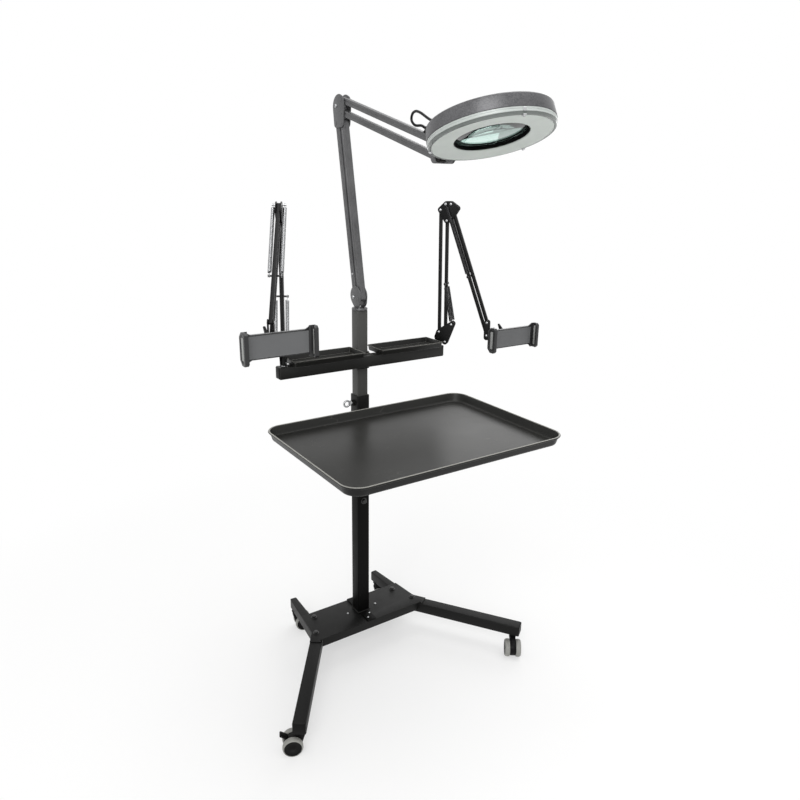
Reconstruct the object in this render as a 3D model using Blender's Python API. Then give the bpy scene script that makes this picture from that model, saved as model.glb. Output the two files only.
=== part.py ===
"""Wheeled tattoo workstation.

A bolted steel base on four castors carries a telescoping square column. The column holds a
work tray on a sliding bracket, a crossbar with two small trays and two sprung tablet arms,
and a parallel-arm magnifier lamp on top. Lengths are metres, angles degrees, +Z is up and
the artist stands at -Y.
"""

from math import atan2, ceil, cos, degrees, hypot, pi, radians, sin

import bmesh
import bpy
from mathutils import Vector

GAP = 0.0003                    # clearance between pieces that seat on each other
PIN_PLAY = 0.0003               # radial play of a pin in its hole
WELD = 0.0006                   # depth by which welded shapes run into each other
PIN_SIDES = 8
ROUND_SIDES = 12                # sides of a full turn on rounded outlines

# Column axis, seen from the middle of the whole footprint
COLUMN_X = 0.0075
COLUMN_Y = 0.1750

# Base: two bent legs under a folded cover plate
PLATE_TOP = 0.078
PLATE_SKIN = 0.002
PLATE_FLANGE = 0.020
PLATE_FRONT = -0.0535
PLATE_BACK = 0.0495
LEG_WIDTH = 0.027
LEG_HEIGHT = 0.025
LEG_WALL = 0.0015
LEG_BEND = (0.1272, -0.0225)
LEG_FRONT_TIP = (0.2843, -0.2517)
LEG_REAR_TIP = (0.1165, 0.1315)
LEG_REAR_TIP_WIDTH = 0.016
LEG_COVERED = 0.034             # length of the front leg that the cover reaches over

# Castors
WHEEL_RADIUS = 0.020
WHEEL_INNER = 0.0070            # inner face of each wheel, from the castor's middle
WHEEL_OUTER = 0.0185
WHEEL_HUB_RADIUS = 0.012
WHEEL_HUB_RECESS = 0.0015
WHEEL_SIDES = 18
AXLE_RADIUS = 0.0025
CASTOR_TRAIL = 0.016
CASTOR_INSET = 0.016            # stem, back from the leg's tip
CASTOR_WEB = 0.013
CASTOR_WEB_RADIUS = 0.0175
CASTOR_HEADROOM = 0.0035        # neck, above the wheels
CASTOR_NECK_RADIUS = 0.008
STEM_RADIUS = 0.004
STEM_LENGTH = 0.020
PEDAL_LENGTH = 0.012
PEDAL_WIDTH = 0.012
PEDAL_RADIUS = 0.0022
PEDAL_PLACE = 52.0              # pivot round the axle, up from level
PEDAL_RISE = 33.0               # lever at rest, up from level

# Column
LOWER_TUBE = 0.030
LOWER_WALL = 0.002
LOWER_TOP = 0.410
UPPER_TUBE = 0.025
UPPER_WALL = 0.0015
UPPER_BOTTOM = 0.120
UPPER_TOP = 0.804
FOOT_WIDTH = 0.022
FOOT_THICKNESS = 0.003
LOCK_BOLT_Z = 0.371
LOCK_BOLT_RADIUS = 0.003
SLEEVE_WALL = 0.0025

# Work tray and its bracket
TRAY_WIDTH = 0.485
TRAY_DEPTH = 0.345
TRAY_HEIGHT = 0.020
TRAY_CORNER = 0.036
TRAY_SHEET = 0.0015
TRAY_BEAD = 0.0045
TRAY_FLARE = 0.004
TRAY_RIM_Z = 0.599
TRAY_BACK_Y = -0.036
BRACKET_BOOM = 0.025
BRACKET_BOOM_HEIGHT = 0.015
BRACKET_FLAT = 0.003
BRACKET_FLAT_WIDTH = 0.025
BRACKET_FLAT_LENGTH = 0.200
BRACKET_FLAT_INSET = 0.080      # flats, from the tray's front and back rims
BRACKET_TOP = 0.620
CLAMP_Z = 0.603
CLAMP_BOSS_RADIUS = 0.007
CLAMP_BOSS_LENGTH = 0.006
CLAMP_SCREW_RADIUS = 0.003
CLAMP_COLLAR_RADIUS = 0.006
CLAMP_COLLAR_LENGTH = 0.005
CLAMP_EYE_RADIUS = 0.0085
CLAMP_EYE_HOLE = 0.0045
CLAMP_EYE_THICKNESS = 0.004

# Crossbar and small trays
BAR_LENGTH = 0.398
BAR_HEIGHT = 0.025
BAR_DEPTH = 0.020
BAR_WALL = 0.0015
BAR_TOP = 0.7125
BAR_SLEEVE_LOW = BAR_TOP - 0.0325
BAR_SLEEVE_HIGH = BAR_TOP + 0.004
SMALL_TRAY_WIDTH = 0.160
SMALL_TRAY_DEPTH = 0.066
SMALL_TRAY_HEIGHT = 0.0125
SMALL_TRAY_SHEET = 0.0015
SMALL_TRAY_CORNER = 0.005
SMALL_TRAY_FLARE = 0.003
SMALL_TRAY_Y = -0.023
LEFT_SMALL_TRAY_X = -0.0975
RIGHT_SMALL_TRAY_X = 0.1020

# Magnifier lamp: positions are (forward, up) in the lamp's own upright plane
LAMP_HEADING = -90.0
LAMP_STEM_RADIUS = 0.0107
LAMP_STEM_LENGTH = 0.034
LAMP_FLANGE_RADIUS = 0.0165
LAMP_FLANGE = 0.005
LAMP_BAR_WIDTH = 0.012          # across the lamp's plane
LAMP_LOWER_DEPTH = 0.014
LAMP_UPPER_DEPTH = 0.0112
LAMP_GROOVE_WIDTH = 0.005
LAMP_GROOVE_DEPTH = 0.0015
LAMP_CHEEK = 0.0025
LAMP_CHEEK_ROUND = 0.0085
LAMP_PIN_RADIUS = 0.003
LAMP_BASE_PIVOT = (0.010, 0.8306)
LAMP_LOWER_SPACING = 0.020
LAMP_LOWER_LENGTH = 0.3468
LAMP_LOWER_LEAN = -11.0
LAMP_ELBOW_FORWARD = 0.001     # upper bars' elbow pivots, from the front lower pivot
LAMP_ELBOW_RISE = 0.0183
LAMP_ELBOW_DISC = (-0.0103, 0.0312)     # middle of the round elbow cheek, from that pivot
LAMP_ELBOW_DISC_RADIUS = 0.0225
LAMP_SOCKET_DISC = (-0.003, 0.0296)     # middle of the round base cheek, from the column's top
LAMP_SOCKET_DISC_RADIUS = 0.0205
LAMP_UPPER_SPACING = 0.0233
LAMP_UPPER_LENGTH = 0.3275
LAMP_UPPER_SLOPE = 16.1         # below level
LAMP_HEAD_OFFSET = (0.0272, -0.0251)   # head pivot, from the top bar's end pivot
LAMP_HEAD_TILT = 17.1           # front edge up
HEAD_RADIUS = 0.0978
HEAD_REACH = 0.1083             # head's middle, from its pivot
HEAD_TOP = 0.0227               # heights from the pivot, along the head's axis
HEAD_SEAM = 0.0018
HEAD_RIM = -0.0046              # foot of the diffuser's outer wall
HEAD_FACE = -0.0088             # outer edge of its face
HEAD_BOTTOM = -0.0068           # inner edge of its face
HEAD_WALL = 0.002
HEAD_TAPER = 0.0018
HEAD_CHAMFER = 0.003
HEAD_SIDES = 32
LENS_RADIUS = 0.0572
LENS_EDGE = 0.005
LENS_CROWN = 0.0055
LENS_SIDES = 24
KNOB_RADIUS = 0.008
KNOB_LENGTH = 0.012
CORD_RADIUS = 0.00225
CORD_STEPS = 24
CORD_SIDE = -0.018
CORD_FROM_END = 0.039            # where it leaves the top bar, from the bar's end pivot
CORD_ENTRY = 0.022               # where it enters the head, from the head's pivot
CORD_LOOP = ((-0.010, 0.0115), (-0.026, 0.0130), (-0.034, 0.0210), (-0.029, 0.0305),
             (-0.016, 0.0340), (0.002, 0.0300), (0.026, 0.0200), (0.052, 0.0100))

# Tablet arms: positions are (forward, up) from the swivel pin at the crossbar's top
ARM_RISE = 0.004
ARM_PIN_RADIUS = 0.0045
ARM_NUT_RADIUS = 0.006
ARM_NUT_HEIGHT = 0.0132
ARM_LENGTH = 0.2625
ARM_BAR = 0.007
ARM_PLATE = 0.002
ARM_PLATE_ROUND = 0.006
ARM_RIVET_RADIUS = 0.002
ARM_FRONT_PIVOT = (0.003, 0.027)
ARM_REAR_PIVOT = (0.0175, 0.005)
ARM_EAR = (0.0324, 0.0464)
ELBOW_TOP_PIVOT = (0.022, 0.012)      # from the front lower bar's upper pivot
ELBOW_UNDER_PIVOT = (0.0225, -0.016)
ELBOW_SPRING_PIN = (0.0125, 0.012)
ELBOW_NOSE = (0.0348, 0.0034)         # the plates' corner above the upper bars
SPRING_PIN_RADIUS = 0.0018
SPRING_PIN_REACH = 0.0135
SPRING_PIN_ALONG = 0.129              # pins on the bars, from the bar's pivot
SPRING_OFFSET = 0.0109
SPRING_COIL = 0.003
SPRING_WIRE = 0.0013
SPRING_TAIL = 0.008
UPPER_CURLS = 8
LOWER_CURLS = 5
POINTS_PER_CURL = 8
NOSE_POST = 0.029                     # pan post, ahead of the head bracket's pivots
NOSE_POST_RADIUS = 0.004
NOSE_SHELF = 0.006
KNUCKLE_RADIUS = 0.007
KNUCKLE_HEIGHT = 0.018
KNUCKLE_REACH = 0.022                 # tilt pin, ahead of the pan post
KNUCKLE_TONGUE = 0.008

# Tablet holders
HOLDER_SETBACK = 0.010                # back of the plate, ahead of the tilt pin
HOLDER_PLATE = (0.104, 0.008, 0.039)  # between the jaws, thickness, height
HOLDER_SLOT = (0.074, 0.0032, 0.026)
HOLDER_EAR = 0.003
JAW_WIDTH = 0.0105
JAW_DEPTH = 0.022
JAW_HEIGHT = 0.053
JAW_CHAMFER = 0.008
JAW_LIP = 0.003
JAW_WALL = 0.004
JAW_TONGUE = (0.068, 0.0026, 0.0254)

# The two arms as they stand: heading, lower and upper tilt, holder pan
ARM_POSES = {
    "left": {"x": -0.1850, "heading": -120.0, "lean": -7.0, "hang": 46.0, "pan": 30.0},
    "right": {"x": 0.1895, "heading": -52.0, "lean": -1.0, "hang": 20.0, "pan": -38.0},
}
CASTOR_YAWS = {"front_left": 157.0, "front_right": -127.0, "rear_left": -13.0,
               "rear_right": -60.0}

MATERIALS = {}


def paint(name, colour, roughness, metallic):
    """Return a Principled material, made once for each name."""
    if name not in MATERIALS:
        material = bpy.data.materials.new(name)
        material.use_nodes = True
        shader = material.node_tree.nodes["Principled BSDF"]
        shader.inputs["Base Color"].default_value = (*colour, 1.0)
        shader.inputs["Roughness"].default_value = roughness
        shader.inputs["Metallic"].default_value = metallic
        MATERIALS[name] = material
    return MATERIALS[name]


def black_steel():
    return paint("black_powder_coat", (0.018, 0.018, 0.017), 0.55, 0.2)


def grey_steel():
    return paint("grey_hammered_paint", (0.11, 0.11, 0.115), 0.45, 0.4)


def bright_steel():
    return paint("bright_steel", (0.62, 0.62, 0.63), 0.3, 1.0)


def grey_plastic():
    return paint("satin_grey_plastic", (0.16, 0.16, 0.165), 0.4, 0.0)


def clear_scene():
    for item in list(bpy.data.objects):
        bpy.data.objects.remove(item, do_unlink=True)


def empty(name, parent=None, location=(0, 0, 0), heading=0.0, pitch=0.0):
    """Add a frame: local X points along heading, then turns by pitch about local Y."""
    item = bpy.data.objects.new(name, None)
    bpy.context.collection.objects.link(item)
    item.parent = parent
    item.location = location
    item.rotation_euler = (0, radians(pitch), radians(heading))
    return item


def place(name, mesh_data, material, parent, location=(0, 0, 0), pitch=0.0):
    """Add a mesh or curve as an object with its origin on its joint's axis."""
    item = bpy.data.objects.new(name, mesh_data)
    mesh_data.materials.append(material)
    bpy.context.collection.objects.link(item)
    item.parent = parent
    item.location = location
    item.rotation_euler = (0, radians(pitch), 0)
    return item


def solid(shapes, name):
    """Turn one bmesh, or several that don't touch, into one mesh with outward faces."""
    whole = bmesh.new()
    scratch = bpy.data.meshes.new(name + "_shape")
    for shape in shapes:
        bmesh.ops.recalc_face_normals(shape, faces=shape.faces)
        shape.to_mesh(scratch)
        shape.free()
        whole.from_mesh(scratch)
    bpy.data.meshes.remove(scratch)
    data = bpy.data.meshes.new(name)
    whole.to_mesh(data)
    whole.free()
    data.shade_smooth()
    data.set_sharp_from_angle(angle=radians(35))
    return data


def combine(target, operation, *shapes):
    """Add a Boolean with a hidden tool object made of the given shapes."""
    name = f"{target.name}_{operation.lower()}_{len(target.modifiers)}"
    tool = bpy.data.objects.new(name, solid(shapes, name))
    bpy.context.collection.objects.link(tool)
    tool.parent = target.parent
    tool.location = target.location
    tool.rotation_euler = target.rotation_euler
    tool.hide_render = True
    tool.display_type = "WIRE"
    step = target.modifiers.new(operation.title(), "BOOLEAN")
    step.operation = operation
    step.object = tool


def fuse(target, *shapes):
    combine(target, "UNION", *shapes)


def carve(target, *shapes):
    combine(target, "DIFFERENCE", *shapes)


def circle(radius, sides=PIN_SIDES, centre=(0, 0)):
    return [(centre[0] + radius * cos(2 * pi * (k + 0.5) / sides),
             centre[1] + radius * sin(2 * pi * (k + 0.5) / sides)) for k in range(sides)]


def rectangle(low, high):
    return [(low[0], low[1]), (high[0], low[1]), (high[0], high[1]), (low[0], high[1])]


def square(side):
    return rectangle((-side / 2, -side / 2), (side / 2, side / 2))


def hull(points):
    """Return the convex outline of plane points, counter-clockwise."""
    ordered = sorted(set(points))
    outline = []
    for run in (ordered, ordered[::-1]):
        start = len(outline)
        for point in run:
            while len(outline) >= start + 2 and turn(outline[-2], outline[-1], point) <= 0:
                outline.pop()
            outline.append(point)
        outline.pop()
    return outline


def turn(a, b, c):
    return (b[0] - a[0]) * (c[1] - a[1]) - (b[1] - a[1]) * (c[0] - a[0])


def around(*discs, sides=ROUND_SIDES):
    """Return the outline stretched round discs given as (centre, radius)."""
    return hull([p for centre, radius in discs for p in circle(radius, sides, centre)])


def inset(outline, distance):
    """Move every edge of a counter-clockwise outline inwards."""
    moved = []
    count = len(outline)
    for k in range(count):
        before, here, after = (Vector(outline[j % count]) for j in (k - 1, k, k + 1))
        enter = (here - before).normalized()
        leave = (after - here).normalized()
        side = Vector((-enter.y, enter.x)) + Vector((-leave.y, leave.x))
        side.normalize()
        moved.append(tuple(here + side * (distance / side.dot(Vector((-enter.y, enter.x))))))
    return moved


def rounded_rectangle(width, depth, radius, steps):
    """Return a rectangle about the origin with round corners."""
    corners = ((1, 1, 0), (-1, 1, 90), (-1, -1, 180), (1, -1, 270))
    return [(sx * (width / 2 - radius) + radius * cos(radians(start + 90 * k / steps)),
             sy * (depth / 2 - radius) + radius * sin(radians(start + 90 * k / steps)))
            for sx, sy, start in corners for k in range(steps + 1)]


def slab(outline, low, high, axis="Z", holes=()):
    """Extrude an outline with holes along an axis.

    Along Z the outline is (x, y), along Y it is (x, z) and along X it is (y, z).
    """
    lift = {"X": lambda a, b, t: (t, a, b), "Y": lambda a, b, t: (a, t, b),
            "Z": lambda a, b, t: (a, b, t)}[axis]
    shape = bmesh.new()
    edges = []
    for loop in (outline, *holes):
        corners = [shape.verts.new(lift(a, b, low)) for a, b in loop]
        edges += [shape.edges.new((corners[k - 1], corners[k])) for k in range(len(corners))]
    bmesh.ops.triangle_fill(shape, use_beauty=True, edges=edges)
    grown = bmesh.ops.extrude_face_region(shape, geom=shape.faces[:])
    travel = Vector(lift(0, 0, high)) - Vector(lift(0, 0, low))
    bmesh.ops.translate(shape, vec=travel,
                        verts=[v for v in grown["geom"] if isinstance(v, bmesh.types.BMVert)])
    return shape


def box(low, high):
    return slab(rectangle(low[:2], high[:2]), low[2], high[2])


def rod(radius, low, high, axis="Z", centre=(0, 0), sides=PIN_SIDES):
    return slab(circle(radius, sides, centre), low, high, axis)


def skin(loops, closed=False):
    """Join loops of equal length; cap both ends unless the row of loops closes."""
    shape = bmesh.new()
    rows = [[shape.verts.new(p) for p in loop] for loop in loops]
    pairs = list(zip(rows, rows[1:])) + ([(rows[-1], rows[0])] if closed else [])
    for one, two in pairs:
        for k in range(len(one)):
            shape.faces.new((one[k - 1], one[k], two[k], two[k - 1]))
    if not closed:
        shape.faces.new(rows[0][::-1])
        shape.faces.new(rows[-1])
    return shape


def turned(profile, sides, axis="Z", centre=(0, 0), closed=False):
    """Turn a profile of (radius, height); an open one is capped at both ends."""
    loops = []
    for radius, height in profile:
        ring = circle(radius, sides)
        if axis == "Y":
            loops.append([(centre[0] + a, height, centre[1] + b) for a, b in ring])
        else:
            loops.append([(centre[0] + a, centre[1] + b, height) for a, b in ring])
    return skin(loops, closed)


def shifted(point, step):
    return (point[0] + step[0], point[1] + step[1])


def along(start, length, angle):
    """Return the point at a length from start, at an angle from straight up to forward."""
    return (start[0] + length * sin(radians(angle)), start[1] + length * cos(radians(angle)))


def leg_outline():
    """Outline of the right leg from above, counter-clockwise, and its two directions."""
    bend, front, rear = Vector(LEG_BEND), Vector(LEG_FRONT_TIP), Vector(LEG_REAR_TIP)
    ahead = (front - bend).normalized()
    back = (rear - bend).normalized()
    front_out = Vector((-ahead.y, ahead.x))
    rear_out = Vector((back.y, -back.x))
    mitre = (front_out + rear_out).normalized()
    half = LEG_WIDTH / 2
    corner = mitre * (half / mitre.dot(front_out))
    outline = [rear + rear_out * LEG_REAR_TIP_WIDTH / 2, rear - rear_out * LEG_REAR_TIP_WIDTH / 2,
               bend - corner, front - front_out * half, front + front_out * half, bend + corner]
    return [tuple(p) for p in outline], ahead, back


def mirrored(outline, side):
    """Keep a right-hand outline, or mirror it for the left with the same turning sense."""
    return outline if side == "right" else [(-x, y) for x, y in outline[::-1]]


def castor_places():
    """Stem positions of the four castors, by corner."""
    ahead, back = leg_outline()[1:]
    front = Vector(LEG_FRONT_TIP) - ahead * CASTOR_INSET
    rear = Vector(LEG_REAR_TIP) - back * CASTOR_INSET
    return {"front_left": (-front.x, front.y), "front_right": (front.x, front.y),
            "rear_left": (-rear.x, rear.y), "rear_right": (rear.x, rear.y)}


def build_base(root):
    outline, ahead, _ = leg_outline()
    leg_top = PLATE_TOP - PLATE_SKIN - GAP
    leg_low = leg_top - LEG_HEIGHT
    stems = castor_places()
    for side in ("left", "right"):
        shape = mirrored(outline, side)
        leg = place(f"{side}_leg", solid([slab(shape, leg_low, leg_top)], f"{side}_leg"),
                    black_steel(), root)
        carve(leg, slab(inset(shape, LEG_WALL), leg_low + LEG_WALL, leg_top - LEG_WALL))
        carve(leg, *[rod(STEM_RADIUS + PIN_PLAY, leg_low - LEG_WALL, leg_low + 2 * LEG_WALL,
                         centre=stems[f"{end}_{side}"], sides=ROUND_SIDES)
                     for end in ("front", "rear")])

    front_out = Vector((-ahead.y, ahead.x))
    outer_bend = Vector(outline[5])
    wing_outer = outer_bend + ahead * LEG_COVERED
    wing_inner = wing_outer - front_out * LEG_WIDTH
    rear_slope = (outline[0][0] - outline[5][0]) / (outline[0][1] - outline[5][1])
    back_x = outline[5][0] + rear_slope * (PLATE_BACK - outline[5][1])
    half = [(wing_inner.x, PLATE_FRONT), tuple(wing_inner), tuple(wing_outer), outline[5],
            (back_x, PLATE_BACK)]
    cover = half + [(-x, y) for x, y in half[::-1]]
    plate = place("base_plate", solid([slab(cover, PLATE_TOP - PLATE_SKIN, PLATE_TOP)],
                                      "base_plate"), black_steel(), root)
    inner_front = leg_side_x(outline, 2, 3, PLATE_FRONT + PLATE_SKIN) - GAP
    inner_back = leg_side_x(outline, 1, 2, PLATE_BACK) - 2 * LEG_WALL
    flange_low = PLATE_TOP - PLATE_FLANGE
    weld_z = PLATE_TOP - PLATE_SKIN + WELD
    fuse(plate, box((-inner_front, PLATE_FRONT, flange_low),
                    (inner_front, PLATE_FRONT + PLATE_SKIN, weld_z)),
         box((-inner_back, PLATE_BACK - PLATE_SKIN, flange_low),
             (inner_back, PLATE_BACK, weld_z)))


def leg_side_x(outline, first, second, y):
    """X at which one side of the leg's outline crosses a given Y."""
    (x0, y0), (x1, y1) = outline[first], outline[second]
    return x0 + (x1 - x0) * (y - y0) / (y1 - y0)


def build_castors(root):
    leg_low = PLATE_TOP - PLATE_SKIN - GAP - LEG_HEIGHT
    axle = (CASTOR_TRAIL, WHEEL_RADIUS)
    crown = 2 * WHEEL_RADIUS + CASTOR_HEADROOM
    web = around((axle, CASTOR_WEB_RADIUS), ((0, crown - CASTOR_NECK_RADIUS / 2),
                                             CASTOR_NECK_RADIUS))
    web_half = CASTOR_WEB / 2
    rim = WHEEL_OUTER - 0.0022
    side = [(AXLE_RADIUS, WHEEL_INNER), (WHEEL_RADIUS - 0.0012, WHEEL_INNER),
            (WHEEL_RADIUS, WHEEL_INNER + 0.0013), (WHEEL_RADIUS, rim),
            (WHEEL_RADIUS - 0.0028, WHEEL_OUTER), (WHEEL_HUB_RADIUS, WHEEL_OUTER),
            (WHEEL_HUB_RADIUS - 0.0005, WHEEL_OUTER - WHEEL_HUB_RECESS)]
    profile = [(r, -y) for r, y in side[::-1]] + side
    for corner, (x, y) in castor_places().items():
        frame = empty(f"castor_{corner}", root, (x, y, 0), CASTOR_YAWS[corner])
        housing = place(f"castor_housing_{corner}",
                        solid([slab(web, -web_half, web_half, "Y")], "castor_web"),
                        paint("castor_black_plastic", (0.02, 0.02, 0.02), 0.4, 0.0), frame)
        fuse(housing, rod(CASTOR_NECK_RADIUS, crown - CASTOR_NECK_RADIUS / 2, leg_low - GAP,
                          sides=ROUND_SIDES))
        fuse(housing, rod(STEM_RADIUS, leg_low - 2 * WELD, leg_low + STEM_LENGTH,
                          sides=ROUND_SIDES))
        carve(housing, rod(AXLE_RADIUS + PIN_PLAY, -web_half - WELD, web_half + WELD, "Y", axle))
        place(f"castor_wheels_{corner}", solid([turned(profile, WHEEL_SIDES, "Y")], "castor_wheels"),
              paint("castor_grey_tyre", (0.52, 0.52, 0.50), 0.55, 0.0), frame,
              (axle[0], 0, axle[1]))
        if corner == "front_left":
            reach = CASTOR_WEB_RADIUS + PEDAL_RADIUS + GAP
            pivot = along(axle, reach, 90 - PEDAL_PLACE)
            tip = along((0, 0), PEDAL_LENGTH, 90 - PEDAL_RISE)
            tab = around(((0, 0), PEDAL_RADIUS), (tip, PEDAL_RADIUS))
            place("brake_pedal",
                  solid([slab(tab, -PEDAL_WIDTH / 2, PEDAL_WIDTH / 2, "Y")], "brake_pedal"),
                  paint("pedal_black_plastic", (0.03, 0.03, 0.03), 0.45, 0.0), frame,
                  (pivot[0], 0, pivot[1]))


def build_column(root):
    foot_low = PLATE_TOP + GAP
    foot_top = foot_low + FOOT_THICKNESS
    lower = place("lower_tube", solid([slab(square(LOWER_TUBE), foot_top - WELD, LOWER_TOP,
                                            holes=[square(LOWER_TUBE - 2 * LOWER_WALL)])],
                                      "lower_tube"), black_steel(), root)
    fuse(lower, box((-FOOT_WIDTH / 2, PLATE_FRONT, foot_low),
                    (FOOT_WIDTH / 2, PLATE_BACK, foot_top)))
    face = -LOWER_TUBE / 2
    carve(lower, rod(LOCK_BOLT_RADIUS + PIN_PLAY, face - LOWER_WALL, face + 2 * LOWER_WALL, "Y",
                     (0, LOCK_BOLT_Z)))
    place("upper_tube", solid([slab(square(UPPER_TUBE), UPPER_BOTTOM, UPPER_TOP,
                                    holes=[square(UPPER_TUBE - 2 * UPPER_WALL)])], "upper_tube"),
          black_steel(), root)


def dish(width, depth, corner, height, sheet, bead, flare, steps):
    """A pressed tray about the origin, its rim's top at z = 0, with a rolled or plain rim."""
    def ring(inwards, z):
        radius = max(corner - inwards, sheet)
        outline = rounded_rectangle(width - 2 * inwards, depth - 2 * inwards, radius, steps)
        return [(x, y, z) for x, y in outline]

    under = bead + flare
    soft = min(height / 5, corner / 3)
    return skin([
        ring(under + soft, sheet - height), ring(under, sheet + soft - height),
        ring(bead + sheet / 2, -sheet), ring(bead, 0), ring(bead * 0.4, 0),
        ring(0, -bead * 0.4), ring(0, -bead * 0.9), ring(bead * 0.35, -bead * 1.25),
        ring(bead, -bead * 1.1), ring(under - sheet / 2, soft - height),
        ring(under + soft, -height)])


def plain_dish(width, depth, corner, height, sheet, flare, steps):
    """A folded sheet tray about the origin, its rim's top at z = 0."""
    def ring(inwards, z):
        radius = max(corner - inwards, sheet / 2)
        outline = rounded_rectangle(width - 2 * inwards, depth - 2 * inwards, radius, steps)
        return [(x, y, z) for x, y in outline]

    return skin([ring(flare + sheet, sheet - height), ring(sheet, 0), ring(0, 0),
                 ring(flare, -height)])


def build_tray(root):
    centre_y = TRAY_BACK_Y - TRAY_DEPTH / 2
    low = TRAY_RIM_Z - TRAY_HEIGHT
    place("tray", solid([dish(TRAY_WIDTH, TRAY_DEPTH, TRAY_CORNER, TRAY_HEIGHT, TRAY_SHEET,
                              TRAY_BEAD, TRAY_FLARE, 6)], "tray"),
          paint("tray_satin_black", (0.035, 0.036, 0.037), 0.35, 0.3), root,
          (0, centre_y, TRAY_RIM_Z))

    sleeve_in = UPPER_TUBE + 2 * GAP
    sleeve_out = sleeve_in + 2 * SLEEVE_WALL
    flat_top = low - GAP
    boom_top = flat_top - BRACKET_FLAT
    boom_low = boom_top - BRACKET_BOOM_HEIGHT
    bracket = place("tray_bracket",
                    solid([slab(square(sleeve_out), boom_low, BRACKET_TOP,
                                holes=[square(sleeve_in)])], "tray_bracket"),
                    black_steel(), root)
    back_flat = TRAY_BACK_Y - BRACKET_FLAT_INSET
    front_flat = TRAY_BACK_Y - TRAY_DEPTH + BRACKET_FLAT_INSET
    half_flat = BRACKET_FLAT_WIDTH / 2
    fuse(bracket, box((-BRACKET_BOOM / 2, front_flat - half_flat, boom_low),
                      (BRACKET_BOOM / 2, -sleeve_in / 2 - WELD, boom_top)))
    fuse(bracket, *[box((-BRACKET_FLAT_LENGTH / 2, y - half_flat, boom_top - WELD),
                        (BRACKET_FLAT_LENGTH / 2, y + half_flat, flat_top))
                    for y in (back_flat, front_flat)])
    boss_end = -sleeve_out / 2 - CLAMP_BOSS_LENGTH
    fuse(bracket, rod(CLAMP_BOSS_RADIUS, boss_end, -sleeve_in / 2 - WELD, "X", (0, CLAMP_Z), ROUND_SIDES))
    carve(bracket, rod(CLAMP_SCREW_RADIUS + PIN_PLAY, boss_end - WELD, -UPPER_TUBE / 2, "X",
                       (0, CLAMP_Z)))

    collar = boss_end - GAP - CLAMP_COLLAR_LENGTH
    eye_x = collar - CLAMP_EYE_RADIUS + 3 * WELD
    screw = place("tray_clamp_screw",
                  solid([rod(CLAMP_SCREW_RADIUS, collar + WELD, -UPPER_TUBE / 2 - GAP, "X")],
                        "tray_clamp_screw"), bright_steel(), root, (0, 0, CLAMP_Z))
    fuse(screw, rod(CLAMP_COLLAR_RADIUS, collar, boss_end - GAP, "X", sides=ROUND_SIDES))
    half_eye = CLAMP_EYE_THICKNESS / 2
    fuse(screw, slab(circle(CLAMP_EYE_RADIUS, ROUND_SIDES, (eye_x, 0)), -half_eye, half_eye, "Y",
                     [circle(CLAMP_EYE_HOLE, ROUND_SIDES, (eye_x, 0))]))


def build_crossbar(root):
    sleeve_in = UPPER_TUBE + 2 * GAP
    sleeve_out = sleeve_in + 2 * SLEEVE_WALL
    back = -sleeve_in / 2 - WELD
    front = back - BAR_DEPTH
    low = BAR_TOP - BAR_HEIGHT
    half = BAR_LENGTH / 2
    bar = place("crossbar", solid([box((-half, front, low), (half, back, BAR_TOP))], "crossbar"),
                black_steel(), root)
    fuse(bar, slab(square(sleeve_out), BAR_SLEEVE_LOW, BAR_SLEEVE_HIGH,
                   holes=[square(sleeve_in)]))
    carve(bar, box((-half + BAR_WALL, front + BAR_WALL, low + BAR_WALL),
                   (half - BAR_WALL, -sleeve_out / 2 - BAR_WALL / 2, BAR_TOP - BAR_WALL)))
    carve(bar, *[rod(ARM_PIN_RADIUS + PIN_PLAY, low - BAR_WALL, BAR_TOP + BAR_WALL,
                     centre=(x, arm_pin_y()), sides=ROUND_SIDES)
                 for x in (pose["x"] for pose in ARM_POSES.values())])
    for side, x in (("left", LEFT_SMALL_TRAY_X), ("right", RIGHT_SMALL_TRAY_X)):
        name = f"{side}_small_tray"
        place(name, solid([plain_dish(SMALL_TRAY_WIDTH, SMALL_TRAY_DEPTH, SMALL_TRAY_CORNER,
                                      SMALL_TRAY_HEIGHT, SMALL_TRAY_SHEET, SMALL_TRAY_FLARE, 3)],
                          name), paint("small_tray_black", (0.03, 0.03, 0.03), 0.5, 0.2), root,
              (x, SMALL_TRAY_Y, BAR_TOP + GAP + SMALL_TRAY_HEIGHT))


def arm_pin_y():
    """The arms' swivel pins stand in the middle of the crossbar's depth."""
    return -UPPER_TUBE / 2 - GAP - WELD - BAR_DEPTH / 2


def strut(length, depth, width, pin_radius):
    """A straight bar from one pivot at the origin up to the other, with round ends."""
    outline = around(((0, 0), depth / 2), ((0, length), depth / 2))
    holes = [circle(pin_radius + PIN_PLAY, PIN_SIDES, (0, z)) for z in (0, length)]
    return slab(outline, -width / 2, width / 2, "Y", holes)


def cheeks(outline, inner, thickness, holes=()):
    """Two like plates on both sides of the plane."""
    return [slab(outline, inner, inner + thickness, "Y", holes),
            slab(outline, -inner - thickness, -inner, "Y", holes)]


def pins(points, radius, reach):
    """Pins right across the plane."""
    return [rod(radius, -reach, reach, "Y", point) for point in points]


def stubs(point, radius, root, reach):
    """Two pins that stand out sideways from a pair of plates, clear of what is between them."""
    return [rod(radius, root, reach, "Y", point), rod(radius, -reach, -root, "Y", point)]


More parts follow.
